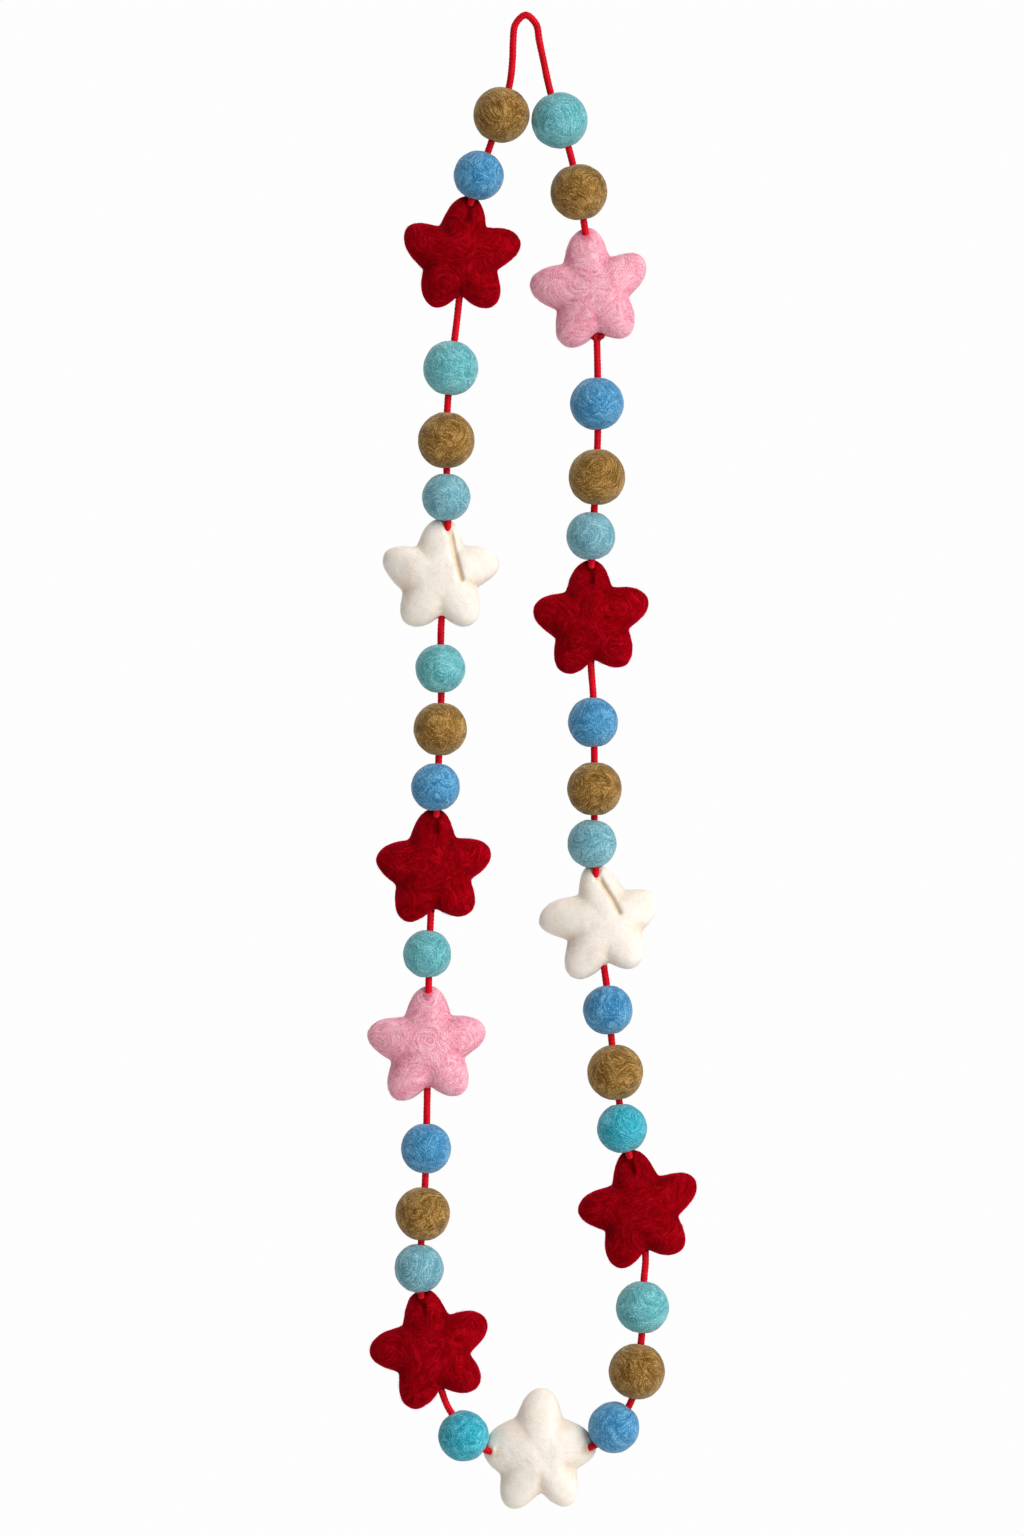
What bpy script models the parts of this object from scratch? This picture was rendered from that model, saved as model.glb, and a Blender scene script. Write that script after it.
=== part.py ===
"""Felt star garland: felt balls and felt stars strung on one red cord, hanging from its top loop.

Metres, +Z up, +X to the viewer's right and +Y away from the viewer. The origin is the place
where a nail or hook bears on the inner crown of the hanging loop, and the whole garland hangs
below it. The cord is one length: it starts under its knot, runs down the right strand, round
the bottom and up the left strand, over the nail, and down through the last beads to the knot.
Tables are in millimetres and are scaled to metres where they are read.
"""

import math
from typing import NamedTuple

import bmesh
import bpy
from mathutils import Matrix, Vector

MM = 0.001

CORD_RADIUS = 1.6 * MM
CORD_ROUNDING = 2
TUNNEL_CLEARANCE = 0.35 * MM
TUNNEL_OVERRUN = 2 * MM
BEND_PER_SEGMENT = math.radians(9)

BALL_SEGMENTS = 14
BALL_RINGS = 9

STAR_SEGMENTS_PER_FLANK = 4
STAR_RINGS = 8
STAR_HALF_THICKNESS = 10.5 * MM
STAR_BODY_RADIUS = 21.5 * MM
STAR_FULLNESS = 0.85
STAR_VALLEY_SHARPNESS = 0.8
STAR_LEAN = math.radians(6)
STAR_SET_BACK = 2 * MM
SIDEWAYS_SET_BACK = 5 * MM

CREASE_RADIUS = 2.2 * MM
CREASE_LIFT = 0.9 * MM

KNOT_RADIUS = 3.8 * MM
KNOT_DEPTH_SHARE = 0.8
KNOT_NECK_RADIUS = 1.7 * MM
KNOT_TOP = -141.0 * MM
KNOT_BOTTOM = -145.2 * MM
KNOT_X = 32.1 * MM
KNOT_STEPS = 12
POCKET_CLEARANCE = 0.45 * MM


class Ball(NamedTuple):
    """One felt ball: its name, colour, centre (x, z) and diameter, in millimetres."""

    name: str
    colour: str
    x: float
    z: float
    diameter: float


class Star(NamedTuple):
    """One felt star: centre (x, z) in millimetres and clockwise turn in degrees.

    Each arm is its clockwise angle in degrees and its reach in millimetres. A sideways star is
    strung through its two side arms, and the others from the top arm down. A crease is a
    trough across the front, as places (side, up) from the star's centre in millimetres.
    """

    name: str
    colour: str
    x: float
    z: float
    turn: float
    arms: tuple
    sideways: bool = False
    crease: tuple = ()


BALLS = (
    Ball("ball_01_blue", "blue", 32.1, -173.3, 24.0),
    Ball("ball_02_tan", "tan", 32.0, -206.3, 25.5),
    Ball("ball_03_pale_blue", "pale_blue", 29.3, -232.9, 22.1),
    Ball("ball_04_blue", "blue", 30.3, -316.7, 22.6),
    Ball("ball_05_tan", "tan", 31.0, -346.6, 24.6),
    Ball("ball_06_pale_blue", "pale_blue", 29.9, -371.3, 22.0),
    Ball("ball_07_blue", "blue", 37.0, -446.1, 22.5),
    Ball("ball_08_tan", "tan", 40.3, -474.1, 25.2),
    Ball("ball_09_cyan", "cyan", 43.4, -499.3, 22.4),
    Ball("ball_10_teal", "teal", 52.6, -580.0, 23.8),
    Ball("ball_11_tan", "tan", 50.1, -608.8, 25.4),
    Ball("ball_12_blue", "blue", 39.5, -634.0, 23.2),
    Ball("ball_13_cyan", "cyan", -28.0, -637.8, 23.0),
    Ball("ball_14_pale_blue", "pale_blue", -48.0, -562.4, 22.2),
    Ball("ball_15_tan", "tan", -46.3, -537.9, 24.6),
    Ball("ball_16_blue", "blue", -44.8, -508.4, 22.7),
    Ball("ball_17_teal", "teal", -44.4, -420.9, 21.8),
    Ball("ball_18_blue", "blue", -40.5, -345.9, 21.9),
    Ball("ball_19_tan", "tan", -38.4, -319.6, 24.1),
    Ball("ball_20_teal", "teal", -38.4, -292.5, 22.5),
    Ball("ball_21_pale_blue", "pale_blue", -35.7, -215.4, 21.8),
    Ball("ball_22_tan", "tan", -35.7, -189.9, 25.7),
    Ball("ball_23_teal", "teal", -33.7, -157.3, 24.8),
    Ball("ball_24_blue", "blue", -21.1, -70.6, 22.5),
    Ball("ball_25_tan", "tan", -10.9, -43.3, 25.3),
    Ball("ball_26_teal", "teal", 15.2, -45.8, 25.4),
    Ball("ball_27_tan", "tan", 24.0, -78.1, 25.6),
)

STARS = (
    Star(
        "star_01_red", "red", 30.7, -271.6, -1.6,
        arms=((2, 27.7), (67, 26.4), (145, 24.2), (214, 26.7), (285, 27.5)),
    ),
    Star(
        "star_02_white", "white", 36.0, -407.8, -1.7,
        arms=((-7, 26.6), (62, 26.0), (147, 23.6), (215, 28.2), (278, 30.2)),
        crease=((-2.5, 20.5), (0.3, 15.5), (3.6, 10.0), (6.2, 4.5)),
    ),
    Star(
        "star_03_red", "red", 52.6, -537.5, -6.1,
        arms=((-2, 27.9), (63, 27.8), (140, 24.6), (212, 27.5), (281, 29.0)),
    ),
    Star(
        "star_04_white", "white", 6.6, -646.0, 0.0,
        arms=((1, 29.6), (82, 25.2), (151, 26.8), (211, 28.1), (273, 25.6)),
        sideways=True,
    ),
    Star(
        "star_05_red", "red", -40.6, -600.1, -9.5,
        arms=((0, 28.0), (65, 27.2), (139, 25.1), (213, 27.8), (281, 29.4)),
    ),
    Star(
        "star_06_pink", "pink", -42.7, -463.4, 2.6,
        arms=((-2, 28.0), (65, 26.0), (143, 25.1), (214, 28.0), (282, 28.9)),
    ),
    Star(
        "star_07_red", "red", -40.2, -383.6, 1.5,
        arms=((-1, 27.4), (67, 26.0), (142, 24.4), (212, 26.7), (281, 27.5)),
    ),
    Star(
        "star_08_white", "white", -37.2, -251.6, 2.6,
        arms=((-1, 26.1), (69, 26.5), (146, 24.6), (216, 26.6), (288, 28.3)),
        crease=((3.5, 20.5), (6.3, 9.5), (9.8, -1.5)),
    ),
    Star(
        "star_09_red", "red", -27.7, -108.1, 6.0,
        arms=((3, 27.6), (65, 26.6), (142, 25.1), (212, 26.1), (289, 29.3)),
    ),
    Star(
        "star_10_pink", "pink", 30.6, -123.3, -5.4,
        arms=((1, 29.1), (62, 27.2), (147, 25.1), (213, 27.5), (284, 29.0)),
    ),
)

# The valley after each arm: clockwise angle in degrees, and reach in millimetres.
VALLEYS = ((30, 18.2), (103, 16.2), (179, 17.4), (249, 19.2), (318, 19.0))

# The cord's centre line (x, z) in millimetres, from under the knot to its top face: a point in
# each gap between beads, one where it leaves each star, and the hanging loop.
ROUTE = (
    (32.1, -145.7), (32.4, -160.0), (32.4, -189.3), (30.9, -220.2), (29.7, -243.8),
    (29.4, -290.0), (30.4, -304.6), (30.9, -331.6), (30.9, -359.4), (31.5, -382.4),
    (35.1, -425.2), (36.5, -435.6), (38.7, -459.8), (42.1, -487.2), (46.4, -510.2),
    (53.9, -555.6), (53.2, -568.2), (52.0, -595.0), (47.0, -623.3), (30.4, -642.4),
    (-17.7, -644.2), (-33.0, -628.0), (-37.6, -618.1), (-47.2, -572.7), (-47.0, -550.7),
    (-45.2, -523.2), (-44.4, -490.0), (-43.6, -433.3), (-42.8, -406.0), (-40.1, -356.3),
    (-39.1, -333.1), (-38.0, -305.6), (-38.1, -276.0), (-35.0, -224.9), (-35.5, -203.3),
    (-35.1, -173.6), (-30.9, -135.5), (-24.1, -80.5), (-15.9, -57.0), (-7.4, -30.5),
    (-5.9, -18.3), (-5.6, -9.8), (-4.6, -2.6), (0.0, 1.6), (4.7, -2.6),
    (6.1, -9.8), (7.9, -18.3), (11.2, -33.2), (20.2, -61.3), (26.2, -91.5),
    (32.1, -140.5),
)

# name: base colour, roughness
FINISHES = {
    "tan": ((0.30, 0.17, 0.06), 0.95),
    "blue": ((0.09, 0.26, 0.50), 0.95),
    "pale_blue": ((0.19, 0.40, 0.52), 0.95),
    "teal": ((0.15, 0.42, 0.46), 0.95),
    "cyan": ((0.06, 0.38, 0.52), 0.95),
    "red": ((0.38, 0.004, 0.015), 0.95),
    "white": ((0.80, 0.74, 0.62), 0.95),
    "pink": ((0.72, 0.27, 0.38), 0.95),
    "cord": ((0.58, 0.005, 0.02), 0.8),
}


def clear_scene():
    """Removes every object that is in the file."""
    for obj in list(bpy.data.objects):
        bpy.data.objects.remove(obj, do_unlink=True)


def new_collection(name):
    """A collection of that name, linked to the scene."""
    collection = bpy.data.collections.new(name)
    bpy.context.scene.collection.children.link(collection)
    return collection


def felt_materials():
    """One Principled material for each finish, by name."""
    materials = {}
    for name, (colour, roughness) in FINISHES.items():
        material = bpy.data.materials.new(name)
        material.use_nodes = True
        shader = material.node_tree.nodes["Principled BSDF"]
        shader.inputs["Base Color"].default_value = (*colour, 1)
        shader.inputs["Roughness"].default_value = roughness
        shader.inputs["Metallic"].default_value = 0
        materials[name] = material
    return materials


def add_object(name, data, collection, material=None):
    """An object of that data in the collection, with the material where one is given."""
    obj = bpy.data.objects.new(name, data)
    collection.objects.link(obj)
    if material:
        obj.data.materials.append(material)
    return obj


def smooth_path(points):
    """Points along a centripetal Catmull-Rom curve through the given ones.

    Each span is split only as finely as it bends, so that straight runs stay single segments.
    """
    ends = [2 * points[0] - points[1], *points, 2 * points[-1] - points[-2]]
    path = []
    for before, start, end, after in zip(ends, ends[1:], ends[2:], ends[3:]):
        run = end - start
        bend = (run.angle(start - before) + run.angle(after - end)) / 2
        pieces = max(1, math.ceil(bend / BEND_PER_SEGMENT))
        knots = [0.0]
        for a, b in ((before, start), (start, end), (end, after)):
            knots.append(knots[-1] + (b - a).length ** 0.5)
        for step in range(pieces):
            t = knots[1] + (knots[2] - knots[1]) * step / pieces
            path.append(catmull_rom((before, start, end, after), knots, t))
    path.append(points[-1])
    return path


def catmull_rom(corners, knots, t):
    """The point at t on the span between the two middle corners."""
    def blend(first, second, low, high):
        return first.lerp(second, (t - low) / (high - low))

    a, b, c = (blend(corners[i], corners[i + 1], knots[i], knots[i + 1]) for i in range(3))
    d, e = blend(a, b, knots[0], knots[2]), blend(b, c, knots[1], knots[3])
    return blend(d, e, knots[1], knots[2])


def overrun(path, length):
    """The same path, run on straight past both of its ends."""
    start = path[0] + (path[0] - path[1]).normalized() * length
    end = path[-1] + (path[-1] - path[-2]).normalized() * length
    return [start, *path[1:-1], end]


def tube(name, path, radius, collection, material=None):
    """A capped round tube along the path, as a bevelled curve of straight segments."""
    curve = bpy.data.curves.new(name, "CURVE")
    curve.dimensions = "3D"
    curve.bevel_depth = radius
    curve.bevel_resolution = CORD_ROUNDING
    curve.use_fill_caps = True
    spline = curve.splines.new("POLY")
    spline.points.add(len(path) - 1)
    for point, place in zip(spline.points, path):
        point.co = (*place, 1)
    return add_object(name, curve, collection, material)


def tube_as_mesh(name, path, radius, collection):
    """The same tube as a closed mesh, for cutting with."""
    guide = tube(f"{name}_guide", path, radius, collection)
    evaluated = guide.evaluated_get(bpy.context.evaluated_depsgraph_get())
    mesh = bpy.data.meshes.new_from_object(evaluated)
    bpy.data.objects.remove(guide, do_unlink=True)
    form = bmesh.new()
    form.from_mesh(mesh)
    bmesh.ops.remove_doubles(form, verts=form.verts, dist=1e-6)
    form.to_mesh(mesh)
    form.free()
    return hide_cutter(add_object(name, mesh, collection))


def hide_cutter(obj):
    """Marks an object as a cutter, which isn't part of the model."""
    obj.hide_render = True
    obj.display_type = "WIRE"
    return obj


def cut(obj, cutter):
    """Takes the cutter's shape out of the object."""
    boolean = obj.modifiers.new(f"cut_{cutter.name}", "BOOLEAN")
    boolean.operation = "DIFFERENCE"
    boolean.solver = "EXACT"
    boolean.object = cutter


def ball_mesh(name, radius, along):
    """A ball whose poles lie on the direction that the cord takes through it."""
    form = bmesh.new()
    bmesh.ops.create_uvsphere(
        form, u_segments=BALL_SEGMENTS, v_segments=BALL_RINGS, radius=radius
    )
    turn = along.to_track_quat("Z", "Y").to_matrix().to_4x4()
    bmesh.ops.transform(form, matrix=turn, verts=form.verts)
    return finished_mesh(form, name)


def finished_mesh(form, name):
    """The bmesh as a smooth-shaded mesh."""
    mesh = bpy.data.meshes.new(name)
    form.to_mesh(mesh)
    form.free()
    mesh.shade_smooth()
    return mesh


def star_outline(star):
    """The star's tips and valleys in turn: angle in degrees and distance in metres."""
    return [(angle, reach * MM) for pair in zip(star.arms, VALLEYS) for angle, reach in pair]


def outline_at(outline, share):
    """Angle and distance at a share of the way round, easing from each tip to its valley."""
    place = share % 1 * len(outline)
    index = int(place)
    blend = place - index
    angle, reach = outline[index]
    next_angle, next_reach = outline[(index + 1) % len(outline)]
    if next_angle < angle:
        next_angle += 360
    at_tip = index % 2 == 0
    tip, valley = (reach, next_reach) if at_tip else (next_reach, reach)
    climb = 1 - blend if at_tip else blend
    rise = (0.5 - 0.5 * math.cos(math.pi * climb)) ** STAR_VALLEY_SHARPNESS
    return math.radians(angle + blend * (next_angle - angle)), valley + (tip - valley) * rise


def star_mesh(star):
    """A sphere drawn out into five soft arms, thickest in the middle."""
    outline = star_outline(star)
    form = bmesh.new()
    bmesh.ops.create_uvsphere(
        form,
        u_segments=len(outline) * STAR_SEGMENTS_PER_FLANK,
        v_segments=STAR_RINGS,
        radius=1,
        matrix=Matrix.Rotation(math.pi / 2, 4, "X"),
    )
    for vert in form.verts:
        side, depth, up = vert.co
        rim = math.hypot(side, up)
        angle, reach = outline_at(outline, math.atan2(side, up) / math.tau)
        spread = rim * (STAR_BODY_RADIUS + (reach - STAR_BODY_RADIUS) * rim)
        thickness = math.copysign(abs(depth) ** STAR_FULLNESS, depth) * STAR_HALF_THICKNESS
        vert.co = (spread * math.sin(angle), thickness, spread * math.cos(angle))
    return finished_mesh(form, star.name)


def star_front(star, side, up):
    """How far the star's front face stands forward at that place."""
    angle = math.degrees(math.atan2(side, up))
    outline = star_outline(star)
    for index, (start, _) in enumerate(outline):
        width = (outline[(index + 1) % len(outline)][0] - start) % 360
        past = (angle - start) % 360
        if past < width:
            _, reach = outline_at(outline, (index + past / width) / len(outline))
    extra = reach - STAR_BODY_RADIUS
    spread = math.hypot(side, up)
    rim = (math.sqrt(STAR_BODY_RADIUS**2 + 4 * extra * spread) - STAR_BODY_RADIUS) / (2 * extra)
    return STAR_HALF_THICKNESS * (1 - rim**2) ** (STAR_FULLNESS / 2)


def star_placement(star):
    """Where the star hangs: turned in its plane, its top arm leaning back off the cord."""
    lean = 0 if star.sideways else STAR_LEAN
    back = SIDEWAYS_SET_BACK if star.sideways else STAR_SET_BACK
    place = Matrix.Translation((star.x * MM, back, star.z * MM))
    turn = Matrix.Rotation(math.radians(star.turn), 4, "Y")
    return place @ turn @ Matrix.Rotation(-lean, 4, "X")


def crease_cutter(star, collection):
    """The trough that runs from the cord's hole across the front face."""
    path = []
    for side, up in star.crease:
        front = star_front(star, side * MM, up * MM)
        path.append(Vector((side * MM, -front - CREASE_LIFT, up * MM)))
    cutter = tube_as_mesh(f"crease_of_{star.name}", path, CREASE_RADIUS, collection)
    cutter.matrix_world = star_placement(star)
    return cutter


def knot_mesh(name, margin):
    """The knot's outer form, turned and then pressed a little flat, grown by the margin."""
    form = bmesh.new()
    height = KNOT_TOP - KNOT_BOTTOM
    middle = (KNOT_TOP + KNOT_BOTTOM) / 2
    profile = (
        (0, height / 2),
        (KNOT_NECK_RADIUS + 0.3 * (KNOT_RADIUS - KNOT_NECK_RADIUS), height / 2),
        (KNOT_RADIUS, height * 0.2),
        (KNOT_RADIUS * 0.9, -height * 0.1),
        (KNOT_NECK_RADIUS, -height / 2),
        (0, -height / 2),
    )
    corners = []
    for radius, level in profile:
        grown = radius + margin if radius else 0
        corners.append(form.verts.new((grown, 0, level + math.copysign(margin, level))))
    edges = [form.edges.new(pair) for pair in zip(corners, corners[1:])]
    bmesh.ops.spin(
        form, geom=corners + edges, angle=math.tau, steps=KNOT_STEPS, use_merge=True,
        axis=(0, 0, 1), cent=(0, 0, 0),
    )
    bmesh.ops.remove_doubles(form, verts=form.verts, dist=1e-6)
    bmesh.ops.recalc_face_normals(form, faces=form.faces)
    place = Matrix.Translation((KNOT_X, 0, middle)) @ Matrix.Diagonal((1, KNOT_DEPTH_SHARE, 1, 1))
    bmesh.ops.transform(form, matrix=place, verts=form.verts)
    return finished_mesh(form, name)


def cord_direction(path, centre):
    """The direction of the cord's segment that passes nearest to the centre."""
    def distance(pair):
        start, end = pair
        run = end - start
        share = min(1, max(0, (centre - start).dot(run) / run.length_squared))
        return (start + run * share - centre).length

    start, end = min(zip(path, path[1:]), key=distance)
    return (end - start).normalized()


def main():
    """Builds the garland."""
    clear_scene()
    garland = new_collection("felt_star_garland")
    cutters = new_collection("cutters")
    materials = felt_materials()

    path = smooth_path([Vector((x * MM, 0, z * MM)) for x, z in ROUTE])
    tube("cord", path, CORD_RADIUS, garland, materials["cord"])
    tunnel_path = overrun(path, TUNNEL_OVERRUN)
    tunnel = tube_as_mesh("tunnel", tunnel_path, CORD_RADIUS + TUNNEL_CLEARANCE, cutters)
    add_object("cord_knot", knot_mesh("cord_knot", 0), garland, materials["cord"])
    pocket = hide_cutter(add_object("knot_pocket", knot_mesh("knot_pocket", POCKET_CLEARANCE), cutters))

    for ball in BALLS:
        centre = Vector((ball.x * MM, 0, ball.z * MM))
        mesh = ball_mesh(ball.name, ball.diameter / 2 * MM, cord_direction(path, centre))
        bead = add_object(ball.name, mesh, garland, materials[ball.colour])
        bead.location = centre
        cut(bead, tunnel)

    for star in STARS:
        bead = add_object(star.name, star_mesh(star), garland, materials[star.colour])
        bead.matrix_world = star_placement(star)
        cut(bead, tunnel)
        if star.crease:
            cut(bead, crease_cutter(star, cutters))
    cut(garland.objects["star_10_pink"], pocket)


if __name__ == "__main__":
    main()
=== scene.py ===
"""Felt star garland: the finish of its felt balls, felt stars, twisted red cord and knot.

Metres, +Z up, +X to the viewer's right and +Y away from the viewer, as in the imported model.
"""

import logging
import math
from dataclasses import dataclass, field, replace
from enum import Enum
from functools import lru_cache
from itertools import product
from typing import ClassVar, Mapping, Sequence, Union

import bmesh
import bpy
import numpy as np
from mathutils import Matrix, Quaternion, Vector
from mathutils.bvhtree import BVHTree


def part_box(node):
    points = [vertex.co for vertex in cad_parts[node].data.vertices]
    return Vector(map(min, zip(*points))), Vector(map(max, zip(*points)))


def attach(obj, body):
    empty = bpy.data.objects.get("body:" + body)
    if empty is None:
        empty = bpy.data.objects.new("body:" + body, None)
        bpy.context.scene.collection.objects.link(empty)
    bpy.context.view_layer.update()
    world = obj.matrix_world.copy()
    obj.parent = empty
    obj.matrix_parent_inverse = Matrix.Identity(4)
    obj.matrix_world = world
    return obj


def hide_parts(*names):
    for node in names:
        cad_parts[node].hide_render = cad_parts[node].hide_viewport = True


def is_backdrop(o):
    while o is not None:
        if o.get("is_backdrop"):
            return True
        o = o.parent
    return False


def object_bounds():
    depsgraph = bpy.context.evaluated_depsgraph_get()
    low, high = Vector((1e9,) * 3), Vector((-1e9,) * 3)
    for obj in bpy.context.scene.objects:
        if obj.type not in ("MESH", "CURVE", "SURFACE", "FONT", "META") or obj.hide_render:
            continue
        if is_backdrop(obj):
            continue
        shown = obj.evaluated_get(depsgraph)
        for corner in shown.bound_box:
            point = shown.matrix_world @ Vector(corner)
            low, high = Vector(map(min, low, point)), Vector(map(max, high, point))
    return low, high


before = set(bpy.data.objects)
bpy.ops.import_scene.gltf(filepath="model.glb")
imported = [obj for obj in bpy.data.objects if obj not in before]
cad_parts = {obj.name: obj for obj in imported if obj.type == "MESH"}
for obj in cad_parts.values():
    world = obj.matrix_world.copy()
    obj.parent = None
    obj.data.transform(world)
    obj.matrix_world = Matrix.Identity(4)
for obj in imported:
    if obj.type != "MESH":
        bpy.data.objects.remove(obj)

log = logging.getLogger("felt_star_garland")

MM = 0.001
Colour = tuple[float, float, float]
Place = tuple[float, float]

# Points, faces, and one more array that goes with them.
Form = tuple[np.ndarray, np.ndarray, np.ndarray]

# The body that every piece rides on.
BODY = "root"

# How far round a bead's centre its own stretch of the cord is looked for.
NEAR = 45 * MM

# Names of the UV maps of fibres and of the cord, and of the felt's own attribute, which holds the
# painted shade laid in folds, towards star valleys and round the cord's holes.
FIBRE_MAP = "OFBake"
LAY_MAP = "lay"
PAINTED_SHADE = "painted_shade"

# How deep a fibre's foot lies in the felt and how far its ridge stands out of it, as shares of
# its width, and what share of its run is lost at each end to its taper.
FIBRE_SUNK, FIBRE_RIDGE, FIBRE_TAPER = 0.15, 0.42, 0.04

# The margin on each side of the fibre map, and half of a fibre's width on it.
MAP_MARGIN, MAP_HALF = 0.03, 0.012
MAP_SPAN = 1 - 2 * MAP_MARGIN


def dyed(red: int, green: int, blue: int) -> Colour:
    """A dye as a linear colour.

    Args:
        red, green, blue: the dye as it is seen on a display, from 0 to 255.

    Returns:
        The linear colour that a shader takes.
    """
    shares = (value / 255 for value in (red, green, blue))
    return tuple(s / 12.92 if s <= 0.04045 else ((s + 0.055) / 1.055) ** 2.4 for s in shares)


def faded(distance: np.ndarray, reach: float, power: int) -> np.ndarray:
    """1 at no distance and about a third at reach, falling off faster for a higher power."""
    return np.exp(-((distance / reach) ** power))


def unit(vectors: np.ndarray) -> np.ndarray:
    """The vectors, which run along the last axis, with a length of 1."""
    return vectors / np.maximum(np.linalg.norm(vectors, axis=-1, keepdims=True), 1e-9)


def run_along(line: np.ndarray) -> np.ndarray:
    """How far along a line of points each of them lies from the first."""
    return np.concatenate([[0], np.cumsum(np.linalg.norm(np.diff(line, axis=0), axis=1))])


def middle_of(node: str) -> Vector:
    """The middle of a CAD node's box."""
    low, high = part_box(node)
    return (low + high) / 2


# ---------------------------------------------------------------- shader nodes


class Signal:
    """An output socket of a node, whose arithmetic adds the nodes that it needs."""

    def __init__(self, bench: "NodeBench", socket: bpy.types.NodeSocket) -> None:
        """Wraps the socket, which stands on that bench."""
        self.bench = bench
        self.socket = socket

    def _work(self, operation: str, first: "Feed", second: "Feed") -> "Signal":
        """Adds a Math node, or a Vector Math node where this signal is a vector or a colour.

        Args:
            operation: the node's operation.
            first, second: its two values, in order.

        Returns:
            The node's result.
        """
        if self.socket.type in ("VECTOR", "RGBA"):
            kind = "ShaderNodeVectorMath"
        else:
            kind = "ShaderNodeMath"
        return self.bench.add(kind, {"operation": operation}, {0: first, 1: second})

    def __add__(self, other: "Feed") -> "Signal":
        """This plus the other."""
        return self._work("ADD", self, other)

    def __radd__(self, other: "Feed") -> "Signal":
        """The other plus this."""
        return self._work("ADD", other, self)

    def __sub__(self, other: "Feed") -> "Signal":
        """This less the other."""
        return self._work("SUBTRACT", self, other)

    def __rsub__(self, other: "Feed") -> "Signal":
        """The other less this."""
        return self._work("SUBTRACT", other, self)

    def __mul__(self, other: "Feed") -> "Signal":
        """This times the other."""
        return self._work("MULTIPLY", self, other)

    def __rmul__(self, other: "Feed") -> "Signal":
        """The other times this."""
        return self._work("MULTIPLY", other, self)

    def folded(self) -> "Signal":
        """This, running up and down between 0 and 1 instead of on and on."""
        return self._work("PINGPONG", self, 1.0)

    def between(self, low: float, high: float) -> "Signal":
        """0 below low, 1 above high, and a smooth rise in between."""
        settings = {"interpolation_type": "SMOOTHSTEP"}
        sockets = {"Value": self, "From Min": low, "From Max": high}
        return self.bench.add("ShaderNodeMapRange", settings, sockets)


Feed = Union[float, Sequence[float], Signal]


class NodeBench:
    """The place where one material's or world's nodes are put together."""

    def __init__(self, tree: bpy.types.NodeTree) -> None:
        """Clears the tree and works on it from then on."""
        self.tree = tree
        tree.nodes.clear()

    def add(
        self,
        kind: str,
        settings: Mapping[str, object] | None = None,
        sockets: Mapping[int | str, Feed] | None = None,
        output: int | str = 0,
    ) -> Signal | None:
        """Adds a node.

        Args:
            kind: the node's type.
            settings: its own properties, which are set first.
            sockets: a value or a signal for each input, by name or number.
            output: the output that is wanted.

        Returns:
            That output, or None from a node that has none.
        """
        node = self.tree.nodes.new(kind)
        for name, value in (settings or {}).items():
            setattr(node, name, value)
        for name, value in (sockets or {}).items():
            socket = node.inputs[name]
            if isinstance(value, Signal):
                self.tree.links.new(value.socket, socket)
            elif socket.type == "RGBA" and len(value) == 3:
                socket.default_value = (*value, 1)
            elif socket.type == "VECTOR" and isinstance(value, float):
                socket.default_value = (value,) * 3
            else:
                socket.default_value = value
        return Signal(self, node.outputs[output]) if node.outputs else None

    def coordinates(self, output: str = "Object") -> Signal:
        """The place on the surface."""
        return self.add("ShaderNodeTexCoord", output=output)

    def noise(
        self, place: Signal, size: float, detail: float = 1, roughness: float = 0.5,
        output: str = "Fac",
    ) -> Signal:
        """Smooth noise.

        Args:
            place: where it is read.
            size: about how far apart its features lie, in metres.
            detail: how many finer layers it has.
            roughness: how strong those are.
            output: Fac or Color.

        Returns:
            The noise, which stays about 0.5.
        """
        sockets = {
            "Vector": place, "Scale": 1 / size, "Detail": detail, "Roughness": roughness,
        }
        return self.add("ShaderNodeTexNoise", {}, sockets, output)

    def ring_distance(self, place: Signal, size: float) -> Signal:
        """The distance in metres from the nearest of many scattered points.

        Args:
            place: where it is read.
            size: about how far apart the points lie, in metres.

        Returns:
            The distance, whose lines of equal value run round each point.
        """
        sockets = {"Vector": place, "Scale": 1 / size}
        return self.add("ShaderNodeTexVoronoi", {"feature": "F1"}, sockets) * size

    def strands(self, place: Signal, across: Signal, gap: float, length: float) -> Signal:
        """Noise drawn out along the lines where across stays equal.

        Args:
            place: where it is read.
            across: the distance from line to line, in metres.
            gap: how far apart the strands lie, in metres.
            length: how soon they change along their run, in metres.

        Returns:
            The noise, from 0 to 1 and evenly spread.
        """
        sockets = {
            "Vector": place, "W": across * (length / gap), "Scale": 1 / length,
            "Detail": 1.5, "Roughness": 0.6,
        }
        noise = self.add("ShaderNodeTexNoise", {"noise_dimensions": "4D"}, sockets)
        return noise.between(0.25, 0.75)

    def mix(self, share: Feed, first: Feed, second: Feed) -> Signal:
        """A colour between the first, at share 0, and the second, at share 1."""
        settings = {"data_type": "RGBA"}
        return self.add("ShaderNodeMix", settings, {0: share, 6: first, 7: second}, 2)

    def bump(self, height: Signal, strength: float, depth: float) -> Signal:
        """The surface's normal with that relief, which is depth metres deep."""
        sockets = {"Height": height, "Strength": strength, "Distance": depth}
        return self.add("ShaderNodeBump", {}, sockets)

    def surface(self, sockets: Mapping[str, Feed]) -> None:
        """Ends a material with a Principled shader that has those sockets set."""
        shader = self.add("ShaderNodeBsdfPrincipled", {}, sockets)
        self.add("ShaderNodeOutputMaterial", {}, {"Surface": shader})


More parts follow.
